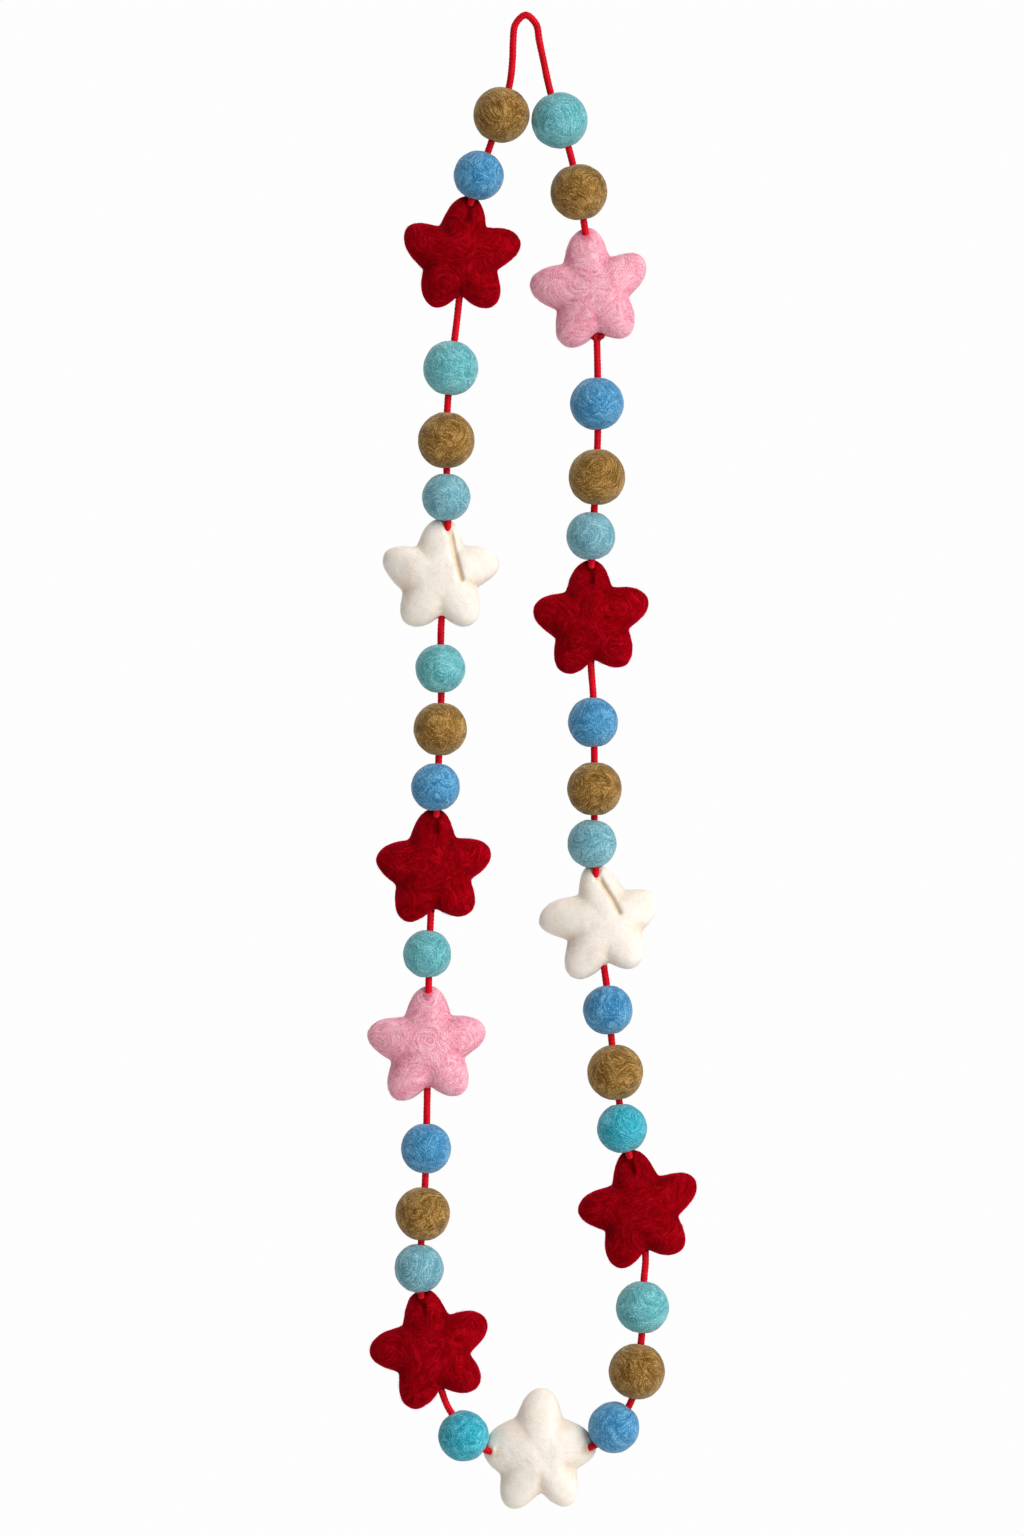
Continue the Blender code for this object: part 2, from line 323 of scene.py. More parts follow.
def cloth(roughness: float, gloss: float, nap: float, rim: Colour) -> dict[str, Feed]:
    """Sockets of the Principled shader that all cloth sets.

    Args:
        roughness: how matt it is.
        gloss: how much it shines.
        nap: weight of the sheen that fine hairs give at the rim.
        rim: the sheen's colour.

    Returns:
        The value of each socket by its name.
    """
    return {
        "Roughness": roughness, "Specular IOR Level": gloss, "Sheen Weight": nap,
        "Sheen Roughness": 0.4, "Sheen Tint": (*rim, 1),
    }


def new_material(name: str) -> tuple[bpy.types.Material, NodeBench]:
    """A new material of that name, and the bench for its nodes."""
    material = bpy.data.materials.new(name)
    material.use_nodes = True
    return material, NodeBench(material.node_tree)


# ---------------------------------------------------------------- finishes


@dataclass(frozen=True)
class FeltFinish:
    """Matted wool of one dye: a soft ground with fibres wound and curled over it.

    Attributes:
        slot: the record's material slot.
        deep: the colour down between the fibres.
        ground: the colour of most of the felt.
        fibre: the colour of the palest fibres on top.
        rim: the colour that loose fibre ends give where the felt turns away.
        windings: how strongly long wound fibres show, from 0 to 1.
        stippled: how strongly the fine dots between fibres show, from 0 to 1.
        mottle: how strongly soft blotches show, from 0 to 1.
        whorl: about how far apart the whorls lie that long fibres wind round.
        nap: weight of the sheen at the rim.
        gloss: how much the wool shines.
        relief: depth of the fibres' relief, in metres.
        strand: how far apart the wound fibres lie, in metres.
    """

    slot: str
    # deep: the colour down between the fibres, and also the painted shade that the hollow
    # attribute lays on.
    deep: Colour
    ground: Colour
    fibre: Colour
    rim: Colour = (1.0, 1.0, 1.0)
    windings: float = 0.9
    stippled: float = 0.8
    mottle: float = 0.35
    whorl: float = 20 * MM
    nap: float = 0.4
    gloss: float = 0.08
    relief: float = 0.25 * MM
    strand: float = 0.65 * MM

    # Sizes of the noise that stirs the whorls, of the patches in which one set of windings
    # lies over the other, of the dots, and of the blotches.
    STIR: ClassVar[float] = 6 * MM
    PATCH: ClassVar[float] = 6 * MM
    DOT: ClassVar[float] = 0.5 * MM
    BLOTCH: ClassVar[float] = 7 * MM

    # How soon the first and the crossing windings change along their run.
    RUNS: ClassVar[Place] = (6 * MM, 5 * MM)

    # How much closer the crossing windings lie than the first.
    CLOSER: ClassVar[float] = 0.8

    @lru_cache
    def felt(self) -> bpy.types.Material:
        """The material of the felt itself."""
        material, bench = new_material(self.slot)
        place = bench.coordinates()
        stir = bench.noise(place, self.STIR, output="Color") - 0.5
        swirled = place + stir * (3 * MM)

        round_whorl = bench.ring_distance(swirled, self.whorl)
        wound = bench.strands(place, round_whorl, self.strand, self.RUNS[0])
        round_other = bench.ring_distance(swirled + 0.37, self.whorl * self.CLOSER)
        gap = self.CLOSER * self.strand
        crossed = bench.strands(place + 0.2, round_other, gap, self.RUNS[1])
        over = bench.noise(place, self.PATCH, 1).between(0.35, 0.65)
        strands = wound * over + crossed * (1 - over)
        stipple = bench.noise(place, self.DOT, 1, 0.6).between(0.25, 0.75)
        blotches = bench.noise(place + stir * (4 * MM), self.BLOTCH, 2)
        # Painted shade: the mesh's hollow attribute pulls the colour towards deep and holds back
        # the pale fibres in folds, towards valleys and round the cord's holes.
        painted_shade = bench.add("ShaderNodeAttribute", {"attribute_name": PAINTED_SHADE}, {}, "Fac")

        wool = (strands - 0.5) * self.windings + (stipple - 0.5) * self.stippled
        low = (0.5 - blotches) * (2 * self.mottle) - wool + painted_shade * 0.8
        colour = bench.mix(low.between(-0.25, 0.75), self.ground, self.deep)
        high = (blotches - 0.5) * self.mottle + wool - painted_shade
        colour = bench.mix(high.between(-0.05, 0.75), colour, self.fibre)

        height = strands * 0.4 + stipple * 0.8
        bench.surface({
            "Base Color": colour, **cloth(0.95, self.gloss, self.nap, self.rim),
            "Normal": bench.bump(height, 0.9, self.relief),
        })
        return material

    @lru_cache
    def fibres(self) -> bpy.types.Material:
        """The material of single fibres, pale in the middle and lost in the ground at the ends."""
        material, bench = new_material(f"{self.slot}_fibres")
        spot = bench.add("ShaderNodeUVMap", {"uv_map": FIBRE_MAP})
        along = bench.add("ShaderNodeSeparateXYZ", {}, {0: spot}, "Y")
        tone = bench.add("ShaderNodeSeparateXYZ", {}, {0: spot}, "X")
        middle = (along * 2).folded().between(0.0, 0.55)
        colour = bench.mix(tone * middle, self.ground, self.fibre)
        bench.surface({"Base Color": colour, **cloth(0.9, self.gloss, self.nap, self.rim)})
        return material


@dataclass(frozen=True)
class CordFinish:
    """Tightly twisted red cotton, a little satiny, with fine threads along each strand.

    Attributes:
        slot: the record's material slot.
        deep: the colour in the grooves between strands, there as painted shade, and of the darkest
            threads.
        ground: the colour of most of the cord.
        lit: the colour along the top of each strand, there as a painted highlight, and of the
            palest threads.
        strands: how many strands lie round it.
    """

    slot: str
    deep: Colour
    ground: Colour
    lit: Colour
    strands: int

    # How deep its threads' relief is, and the size of its worn patches.
    RELIEF: ClassVar[float] = 0.1 * MM
    WORN: ClassVar[float] = 3 * MM

    @lru_cache
    def twisted(self) -> bpy.types.Material:
        """The material of the cord and its knot."""
        material, bench = new_material(self.slot)
        lay = bench.add("ShaderNodeUVMap", {"uv_map": LAY_MAP})
        across = bench.add("ShaderNodeSeparateXYZ", {}, {0: lay}, "Y")
        crown = (across * (2 * self.strands)).folded()
        stretched = bench.add("ShaderNodeMapping", {}, {"Vector": lay, "Scale": (0.35, 26, 1)})
        threads = bench.noise(stretched, 1.0, 2, 0.6)
        worn = bench.noise(bench.coordinates(), self.WORN, 2)
        # Painted light: crown makes each strand's top lighter and its grooves darker, mixed with
        # the threads' and worn patches' own tones.
        level = crown * 0.3 + threads * 0.8 + (worn - 0.5) * 0.8 - 0.1
        colour = bench.mix(level.between(0.0, 0.4), self.deep, self.ground)
        colour = bench.mix(level.between(0.4, 0.8), colour, self.lit)
        bench.surface({
            "Base Color": colour, **cloth(0.5, 0.1, 0.2, (1.0, 0.0, 0.08)),
            "Normal": bench.bump(threads + crown * 0.5, 0.5, self.RELIEF),
        })
        return material


class Wool(Enum):
    """The dyes that the beads come in."""

    TAN = FeltFinish(
        "felt_tan", dyed(88, 58, 14), dyed(140, 102, 46), dyed(196, 156, 92),
        rim=(1.0, 0.88, 0.66), windings=1.0, mottle=0.5, nap=0.5,
    )
    BLUE = FeltFinish(
        "felt_blue", dyed(36, 100, 148), dyed(70, 144, 188), dyed(132, 190, 222),
    )
    PALE_BLUE = FeltFinish(
        "felt_pale_blue", dyed(72, 128, 146), dyed(114, 170, 184), dyed(168, 212, 220),
    )
    TEAL = FeltFinish(
        "felt_teal", dyed(60, 134, 142), dyed(102, 180, 186), dyed(156, 216, 222),
    )
    CYAN = FeltFinish(
        "felt_cyan", dyed(12, 118, 142), dyed(50, 172, 192), dyed(118, 206, 220),
    )
    RED = FeltFinish(
        "felt_red", dyed(84, 0, 3), dyed(140, 0, 8), dyed(190, 12, 34),
        rim=(1.0, 0.0, 0.04), windings=0.7, stippled=0.35, whorl=26 * MM, nap=1.0, gloss=0.02,
        relief=0.15 * MM, strand=1.0 * MM,
    )
    WHITE = FeltFinish(
        "felt_white", dyed(222, 200, 174), dyed(243, 235, 226), dyed(249, 244, 238),
        windings=0.25, stippled=0.3, mottle=0.32, whorl=26 * MM, nap=0.1, relief=0.06 * MM,
    )
    PINK = FeltFinish(
        "felt_pink", dyed(210, 110, 134), dyed(239, 167, 183), dyed(250, 206, 217),
        windings=0.75, stippled=0.7, mottle=0.4, whorl=26 * MM, nap=0.3, relief=0.18 * MM,
        strand=0.75 * MM,
    )


CORD_RED = CordFinish(
    "cord_red", dyed(140, 0, 10), dyed(204, 0, 24), dyed(230, 4, 38), strands=4,
)
# The knot's finish: the cord's colours darkened, as painted shade on the knot.
SHADED_KNOT_RED = replace(CORD_RED, deep=dyed(90, 0, 6), ground=dyed(150, 0, 16), lit=dyed(186, 4, 32))


# ---------------------------------------------------------------- shapes


def add_piece(
    name: str,
    points: np.ndarray,
    faces: Sequence[Sequence[int]] | np.ndarray,
    material: bpy.types.Material,
    maps: Mapping[str, np.ndarray] | None = None,
    painted_shade: np.ndarray | None = None,
) -> bpy.types.Object:
    """A smooth-shaded mesh object.

    Args:
        name: the piece's name.
        points: its corners, one row each.
        faces: the corners of each face, all faces alike in number of corners.
        material: its finish.
        maps: UV maps by name, one row for each corner of each face in turn.
        painted_shade: how much shade is painted on each point, in a fold or by a hole, from 0 to
            1.

    Returns:
        The object, linked to the scene.
    """
    faces = np.asarray(faces, np.int32)
    mesh = bpy.data.meshes.new(name)
    mesh.vertices.add(len(points))
    mesh.vertices.foreach_set("co", np.asarray(points, np.float32).ravel())
    mesh.loops.add(faces.size)
    mesh.loops.foreach_set("vertex_index", faces.ravel())
    mesh.polygons.add(len(faces))
    mesh.polygons.foreach_set("loop_start", np.arange(0, faces.size, faces.shape[1], np.int32))
    mesh.update(calc_edges=True)
    for map_name, spots in (maps or {}).items():
        layer = mesh.uv_layers.new(name=map_name)
        layer.uv.foreach_set("vector", np.asarray(spots, np.float32).ravel())
    if painted_shade is not None:
        mesh.attributes.new(PAINTED_SHADE, "FLOAT", "POINT").data.foreach_set("value", painted_shade)
    mesh.validate()
    mesh.shade_smooth()
    mesh.materials.append(material)
    piece = bpy.data.objects.new(name, mesh)
    bpy.context.scene.collection.objects.link(piece)
    return piece


def grid_faces(rows: int, columns: int, first: int = 0) -> np.ndarray:
    """The quads between rows of points, each row a closed ring.

    Args:
        rows: how many rings.
        columns: how many points in each.
        first: the index of the first point.

    Returns:
        The corners of each quad.
    """
    ring = np.arange(columns)
    low = first + np.arange(rows - 1)[:, None] * columns
    here, there = low + ring, low + (ring + 1) % columns
    return np.stack([here, there, there + columns, here + columns], -1).reshape(-1, 4)


def ribbon_mesh(
    places: np.ndarray, normals: np.ndarray, width: np.ndarray, tone: np.ndarray
) -> Form:
    """Thin ribbons with a ridge along the middle, tapered at both ends.

    Args:
        places: the points along each ribbon's foot, as (ribbon, joint, axis).
        normals: which way is up at each.
        width: each ribbon's width, as (ribbon, 1, 1).
        tone: each ribbon's place between the ground's colour, 0, and the fibre's, 1.

    Returns:
        Their points, their quads and each quad corner's place on the fibre map.
    """
    count, joints = places.shape[:2]
    along = np.linspace(0, 1, joints)
    taper = FIBRE_TAPER + (1 - 2 * FIBRE_TAPER) * along
    wide = width * np.sin(np.pi * taper)[None, :, None] ** 0.5
    side = unit(np.cross(normals, np.gradient(places, axis=1)))
    foot, ridge = places - normals * wide * FIBRE_SUNK, places + normals * wide * FIBRE_RIDGE
    corners = np.stack([foot - side * wide / 2, ridge, foot + side * wide / 2], 2)
    index = np.arange(count * joints * 3).reshape(count, joints, 3)
    here, there = index[:, :-1], index[:, 1:]
    faces = np.stack([here[:, :, :2], here[:, :, 1:], there[:, :, 1:], there[:, :, :2]], -1)
    across = MAP_MARGIN + MAP_SPAN * tone + np.array((-MAP_HALF, 0, MAP_HALF))
    across = np.broadcast_to(across, (count, joints, 3))
    down = (MAP_MARGIN + MAP_SPAN * along)[None, :, None]
    down = np.broadcast_to(down, (count, joints, 3))
    spots = np.stack([across, down], -1).reshape(-1, 2)
    faces = faces.reshape(-1, 4)
    return corners.reshape(-1, 3), faces, spots[faces.ravel()]


class WoolNoise:
    """Smooth lumps in space that are the same on each run."""

    SIZE = 24

    def __init__(self, seed: int) -> None:
        """Draws the lattice of random values and a turn that hides its axes."""
        draw = np.random.default_rng(seed)
        self.lattice = draw.uniform(-1, 1, (self.SIZE,) * 3)
        self.turn = np.array(Quaternion(draw.normal(size=4)).normalized().to_matrix())

    def at(self, points: np.ndarray, size: float) -> np.ndarray:
        """The noise at each point, from -1 to 1, with lumps about size metres apart."""
        place = points @ self.turn / size
        low = np.floor(place).astype(int)
        share = place - low
        share = share**3 * (share * (share * 6 - 15) + 10)
        total = np.zeros(len(points))
        for corner in product((0, 1), repeat=3):
            weight = np.prod(np.where(corner, share, 1 - share), axis=1)
            total += weight * self.lattice[tuple(((low + corner) % self.SIZE).T)]
        return total


@dataclass(frozen=True)
class CordRoute:
    """The cord's centre line, from under its knot, all the way round, to the knot's top.

    Attributes:
        corners: the places (x, z) that it passes, in metres; it hangs in the plane y = 0.
        step: the distance between points of the smooth line.
    """

    corners: tuple[Place, ...]
    step: float = 0.55 * MM

    @lru_cache
    def line(self) -> np.ndarray:
        """Evenly spaced points along the smooth curve through the corners."""
        given = np.array([(x, 0, z) for x, z in self.corners])
        ends = np.vstack([2 * given[0] - given[1], given, 2 * given[-1] - given[-2]])
        spans = [self._span(ends[i : i + 4]) for i in range(len(ends) - 3)]
        fine = np.vstack([*spans, given[-1:]])
        run = run_along(fine)
        even = np.linspace(0, run[-1], round(run[-1] / self.step) + 1)
        return np.stack([np.interp(even, run, fine[:, axis]) for axis in range(3)], 1)

    @staticmethod
    def _span(four: np.ndarray) -> np.ndarray:
        """Points of the centripetal Catmull-Rom curve between the two middle ones of four."""
        gaps = np.sqrt(np.linalg.norm(np.diff(four, axis=0), axis=1))
        knots = np.concatenate([[0], np.cumsum(gaps)])
        t = np.linspace(knots[1], knots[2], 40, endpoint=False)[:, None]

        def blend(first: np.ndarray, second: np.ndarray, low: int, high: int) -> np.ndarray:
            """The place between two, at the share of t between two knots."""
            share = (t - knots[low]) / (knots[high] - knots[low])
            return first + (second - first) * share

        a, b, c = (blend(four[i], four[i + 1], i, i + 1) for i in range(3))
        return blend(blend(a, b, 0, 2), blend(b, c, 1, 3), 1, 2)

    @property
    def length(self) -> float:
        """The length of the smooth line, in metres."""
        return float(np.linalg.norm(np.diff(self.line(), axis=0), axis=1).sum())

    def within(self, centre: Vector, reach: float) -> np.ndarray:
        """The points of the line that lie within reach of the centre."""
        line = self.line()
        return line[np.linalg.norm(line - np.array(centre), axis=1) < reach]

    def nearest(self, points: np.ndarray, centre: Vector) -> Form:
        """How points of one bead lie to the cord.

        Args:
            points: the points, one row each.
            centre: the bead's centre.

        Returns:
            For each point, the number of the nearest place in within(centre, NEAR), the
            distance from it, and the direction away from it.
        """
        near = self.within(centre, NEAR)
        away = points[:, None] - near[None]
        index = (away**2).sum(2).argmin(1)
        away = away[np.arange(len(points)), index]
        distance = np.linalg.norm(away, axis=1)
        return index, distance, away / np.maximum(distance, 1e-9)[:, None]


# ---------------------------------------------------------------- fibres


class Lay(Enum):
    """How a fibre lies on the felt."""

    WOUND = "wound round a whorl"
    CURLED = "curled up on itself"
    STRAY = "standing off in a loose loop"


@dataclass(frozen=True)
class FibreLayer:
    """Single fibres of one kind, spread over a bead.

    Attributes:
        lay: how they lie.
        count: how many there are.
        length: shortest and longest, in metres.
        width: thinnest and thickest, in metres.
        lift: how far the middle stands off the felt, least and most, in metres.
        tone: least and most pale, from 0 for the ground's colour to 1.
        joints: how many points each has.
    """

    lay: Lay
    count: int
    length: tuple[float, float]
    width: tuple[float, float]
    lift: tuple[float, float]
    tone: tuple[float, float]
    joints: int = 8

    def paths(
        self, bead: "BeadSkin", draw: np.random.Generator
    ) -> tuple[np.ndarray, np.ndarray]:
        """Runs fibres over a bead's skin.

        Args:
            bead: the skin that they lie on.
            draw: the random numbers.

        Returns:
            The points along each fibre, and the skin's normals there.
        """
        places, normals = [], []
        starts = bead.scatter(self.count, draw)
        for start in starts:
            stretch = draw.uniform(*self.length) / (self.joints - 1)
            spot, normal, _, _ = bead.tree.find_nearest(Vector(start))
            heading = self._heading(bead, spot, normal, draw)
            turn = self._turn(stretch, draw)
            run, out = [], []
            for _ in range(self.joints):
                run.append(spot[:])
                out.append(normal[:])
                heading = Quaternion(normal, turn + draw.normal(0, 0.12)) @ heading
                heading = (heading - normal * heading.dot(normal)).normalized()
                spot, normal, _, _ = bead.tree.find_nearest(spot + heading * stretch)
            places.append(run)
            normals.append(out)
        return np.array(places), np.array(normals)

    def _heading(
        self, bead: "BeadSkin", spot: Vector, normal: Vector, draw: np.random.Generator
    ) -> Vector:
        """The direction in which a fibre sets out: round a near whorl, or any."""
        if self.lay is Lay.WOUND:
            gaps = [(spot - whorl).length + draw.uniform(0, 5 * MM) for whorl in bead.whorls]
            whorl = bead.whorls[int(np.argmin(gaps))]
            heading = normal.cross(spot - whorl)
            if heading.length > 1e-5:
                return Quaternion(normal, draw.normal(0, 0.25)) @ heading.normalized()
        return Quaternion(normal, draw.uniform(0, math.tau)) @ normal.orthogonal().normalized()

    def _turn(self, stretch: float, draw: np.random.Generator) -> float:
        """How far a fibre turns at each of its joints."""
        side = draw.choice((-1, 1))
        if self.lay is Lay.WOUND:
            return stretch * draw.normal(0, 40)
        radius = draw.uniform(1.0, 3.5) if self.lay is Lay.CURLED else draw.uniform(1.5, 6)
        return side * stretch / (radius * MM)

    def ribbons(self, bead: "BeadSkin", draw: np.random.Generator) -> Form:
        """The fibres as thin ribbons.

        Args:
            bead: the skin that they lie on.
            draw: the random numbers.

        Returns:
            Their points, their quads and each quad corner's place on the fibre map.
        """
        places, normals = self.paths(bead, draw)
        clear = bead.clear_of_cord(places)
        places, normals = places[clear], normals[clear]
        count, joints = places.shape[:2]
        arch = np.sin(np.pi * np.linspace(0, 1, joints))[None, :, None]
        lifted = places + normals * draw.uniform(*self.lift, (count, 1, 1)) * arch
        width = draw.uniform(*self.width, (count, 1, 1))
        tone = draw.uniform(*self.tone, (count, 1, 1))
        return ribbon_mesh(lifted, normals, width, tone)


@dataclass
class BeadSkin:
    """The outside of a finished bead, as fibres find it.

    Attributes:
        points: the corners of its mesh.
        triangles: its faces, as triangles.
        whorls: the places that its long fibres wind round.
        centre: its middle.
        route: the cord that it is strung on.
    """

    points: np.ndarray
    triangles: np.ndarray
    whorls: list[Vector]
    centre: Vector
    route: CordRoute
    tree: BVHTree = field(init=False)

    # How far from the cord's middle every fibre keeps.
    CLEAR: ClassVar[float] = 2.0 * MM

    def __post_init__(self) -> None:
        """Builds the tree in which the nearest place on the skin is looked up."""
        self.tree = BVHTree.FromPolygons(self.points.tolist(), self.triangles.tolist())

    def scatter(self, count: int, draw: np.random.Generator) -> np.ndarray:
        """That many places, spread evenly over the skin."""
        a, b, c = (self.points[self.triangles[:, corner]] for corner in range(3))
        size = np.linalg.norm(np.cross(b - a, c - a), axis=1)
        pick = draw.choice(len(size), count, p=size / size.sum())
        u, v = draw.random((2, count, 1))
        u, v = np.where(u + v > 1, 1 - u, u), np.where(u + v > 1, 1 - v, v)
        return a[pick] + u * (b[pick] - a[pick]) + v * (c[pick] - a[pick])

    def clear_of_cord(self, places: np.ndarray) -> np.ndarray:
        """Which fibres keep off the cord and its hole."""
        _, distance, _ = self.route.nearest(places.reshape(-1, 3), self.centre)
        return (distance.reshape(places.shape[:2]) > self.CLEAR).all(1)


# ---------------------------------------------------------------- cord and knot


@dataclass
class TwistedCord:
    """The cord that everything hangs on: strands twisted round each other.

    Attributes:
        route: its centre line.
        finish: its material.
        diameter: over the strands.
        lay_length: how far a strand runs in one turn.
        groove: how deep the strands' grooves are.
        columns_per_strand: points across each strand.
        strips: how many rows its unrolled surface is folded into on its bake map.
    """

    route: CordRoute
    finish: CordFinish
    diameter: float = 3.3 * MM
    lay_length: float = 6.8 * MM
    groove: float = 0.12 * MM
    columns_per_strand: int = 5
    strips: int = 12

    def tube(self, line: np.ndarray, radius: np.ndarray) -> Form:
        """A twisted tube along a line.

        Args:
            line: its ring centres, evenly spaced.
            radius: its radius at each of them.

        Returns:
            Its points, its quads and each quad corner's (distance along, share round).
        """
        columns = self.finish.strands * self.columns_per_strand
        ahead = unit(np.gradient(line, axis=0))
        side = unit(np.cross((0, 1, 0), ahead))
        front = np.cross(ahead, side)
        run = run_along(line)
        share = np.arange(columns) / columns
        turn = math.tau * (share[None] + run[:, None] / self.lay_length)
        crown = np.abs(np.sin(math.pi * self.finish.strands * share))[None]
        reach = (radius[:, None] - self.groove * (1 - crown))[:, :, None]
        ring = np.cos(turn)[:, :, None] * side[:, None] + np.sin(turn)[:, :, None] * front[:, None]
        points = line[:, None] + ring * reach
        faces = grid_faces(len(line), columns)
        rows, column = np.divmod(np.arange(len(faces)), columns)
        ends = np.stack([rows, rows, rows + 1, rows + 1], 1)
        round_ = np.stack([column, column + 1, column + 1, column], 1) / columns
        spots = np.stack([run[ends] / MM, round_], 2)
        return points.reshape(-1, 3), faces, spots.reshape(-1, 2)

    def build(self) -> bpy.types.Object:
        """Returns:
            The cord.
        """
        line = self.line()
        wander = WoolNoise(5).at(line, 4 * MM)
        radius = self.diameter / 2 * (1 + 0.03 * wander)
        taper = np.minimum(np.arange(len(line)), np.arange(len(line))[::-1])
        radius *= np.interp(taper, (0, 1, 2), (0.35, 0.8, 1))
        points, faces, spots = self.tube(line, radius)
        cord = add_piece("cord_twisted", points, faces, self.finish.twisted(), {
            LAY_MAP: spots, FIBRE_MAP: self._bake_spots(spots),
        })
        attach(cord, BODY)
        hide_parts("cord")
        return cord

    def line(self) -> np.ndarray:
        """The route, with both ends run on into the knot."""
        line = self.route.line()
        into = np.arange(1, 6)[:, None] * np.array((0, 0, self.route.step))
        return np.vstack([line[0] + into[::-1], line, line[-1] - into[:3]])

    def _bake_spots(self, spots: np.ndarray) -> np.ndarray:
        """The unrolled cord folded into rows that fill a square map."""
        along = spots[:, 0].reshape(-1, 4)
        share = along / spots[:, 0].max() * self.strips
        row = np.minimum(np.floor(share.mean(1)), self.strips - 1)[:, None]
        across = (share - row).clip(0, 1) * 0.99 + 0.005
        up = (row + 0.06 + 0.88 * spots[:, 1].reshape(-1, 4)) / self.strips
        return np.stack([across, up], 2).reshape(-1, 2)


@dataclass
class CordKnot:
    """The knot that closes the garland, drawn up tight into the notch of the star above it.

    Attributes:
        cord: the cord that it is tied in.
        finish: its material, darker than the cord's as painted shade.
        strand: its strand's radius.
        points: how many ring centres it has.
        frays: how many loose thread ends stand out of it.
    """

    cord: TwistedCord
    finish: CordFinish
    strand: float = 1.4 * MM
    points: int = 160
    frays: int = 8

    # How far the closed curve that it follows swings out, before it is fitted to its box.
    SPREAD: ClassVar[float] = 2.9

    def build(self) -> bpy.types.Object:
        """Builds the knot as a strand passed round itself, and its frayed ends.

        Returns:
            The knot, with the frayed ends riding on it.
        """
        low, high = (np.array(corner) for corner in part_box("cord_knot"))
        centre, half = (low + high) / 2, (high - low) / 2
        turn = np.linspace(0, math.tau, self.points)
        loops = np.stack([
            np.sin(turn) + 2 * np.sin(2 * turn),
            -self.SPREAD * np.sin(3 * turn),
            np.cos(turn) - 2 * np.cos(2 * turn),
        ], 1) / self.SPREAD
        line = centre + loops * np.maximum(half - self.strand, 1.0 * MM)
        tied = TwistedCord(self.cord.route, self.finish)
        points, faces, spots = tied.tube(line, np.full(self.points, self.strand))
        knot = add_piece("cord_knot_tied", points, faces, self.finish.twisted(), {
            LAY_MAP: spots,
        })
        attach(knot, BODY)
        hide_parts("cord_knot")
        self._fray(centre, half).parent = knot
        return knot

    def _fray(self, centre: np.ndarray, half: np.ndarray) -> bpy.types.Object:
        """Loose thread ends that stand out of the knot, mostly to its sides and upwards."""
        draw = np.random.default_rng(11)
        out = unit(draw.normal(0, 1, (self.frays, 3)) * (1.0, 0.5, 0.5) + (0, -0.2, 0.35))
        along = np.linspace(0.55, 1, 5)[None, :, None]
        reach = draw.uniform(1.05, 1.5, (self.frays, 1, 1))
        bend = draw.normal(0, 0.6 * MM, (self.frays, 1, 3)) * (along - 0.55) ** 2 * 8
        places = centre + out[:, None] * half * along * reach + bend
        normals = np.broadcast_to(np.cross(out, (0, 1, 0))[:, None], places.shape)
        width = draw.uniform(0.15 * MM, 0.35 * MM, (self.frays, 1, 1))
        tone = draw.uniform(0.2, 0.9, (self.frays, 1, 1))
        points, faces, spots = ribbon_mesh(places, normals, width, tone)
        frays = add_piece("cord_knot_frays", points, faces, Wool.RED.value.fibres(), {
            FIBRE_MAP: spots,
        })
        return frays


# ---------------------------------------------------------------- beads


@dataclass
class FeltBead:
    """What felt balls and felt stars have in common.

    Attributes:
        node: the CAD node that the bead stands for.
        wool: its dye.
        route: the cord that it is strung on.
        unevenness: how far its broadest lumps stand out.
    """

    node: str
    wool: Wool
    route: CordRoute
    unevenness: float = 0.16 * MM

    # How far apart the broadest lumps lie, and the spacing and height of the finer ones.
    BROAD: ClassVar[float] = 9 * MM
    FINER: ClassVar[tuple[Place, ...]] = ((3.6 * MM, 0.12 * MM), (1.7 * MM, 0.07 * MM))

    @property
    def seed(self) -> int:
        """The number that this bead's lumps and fibres grow from."""
        return sum(ord(letter) * (place + 1) for place, letter in enumerate(self.node))

    def shape(self) -> Form:
        """The points and faces of the bead's felt, and how much shade is painted on each point."""
        raise NotImplementedError

    def whorls(self, draw: np.random.Generator) -> list[Vector]:
        """The places that the bead's long fibres wind round."""
        raise NotImplementedError

    def layers(self) -> tuple[FibreLayer, ...]:
        """The kinds of fibre on the bead."""
        raise NotImplementedError

    def lumped(self, points: np.ndarray, out: np.ndarray) -> np.ndarray:
        """The points with the soft lumps that felting leaves.

        Args:
            points: the smooth surface's points.
            out: the direction in which each may move.

        Returns:
            The moved points.
        """
        noise = WoolNoise(self.seed)
        height = noise.at(points, self.BROAD) * self.unevenness
        for shift, (spacing, lump) in enumerate(self.FINER, 1):
            height += noise.at(points + shift, spacing) * lump
        return points + out * height[:, None]

    def build(self) -> bpy.types.Object:
        """Builds the felt and its fibres, which ride with it.

        Returns:
            The felt.
        """
        finish = self.wool.value
        points, faces, painted_shade = self.shape()
        felt = add_piece(f"{self.node}_felt", points, faces, finish.felt(), painted_shade=painted_shade)
        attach(felt, BODY)
        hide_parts(self.node)

        draw = np.random.default_rng(self.seed)
        corners = np.asarray(faces)
        if corners.shape[1] == 4:
            corners = np.concatenate([corners[:, :3], corners[:, [0, 2, 3]]])
        skin = BeadSkin(points, corners, self.whorls(draw), middle_of(self.node), self.route)
        made = [layer.ribbons(skin, draw) for layer in self.layers()]
        first = np.cumsum([0] + [len(part[0]) for part in made])
        fibres = add_piece(
            f"{self.node}_fibres",
            np.concatenate([part[0] for part in made]),
            np.concatenate([part[1] + start for part, start in zip(made, first)]),
            finish.fibres(),
            {FIBRE_MAP: np.concatenate([part[2] for part in made])},
        )
        fibres.parent = felt
        fine = len(fibres.data.polygons)
        log.info("%s: %d felt faces, %d fibre faces", self.node, len(faces), fine)
        return felt


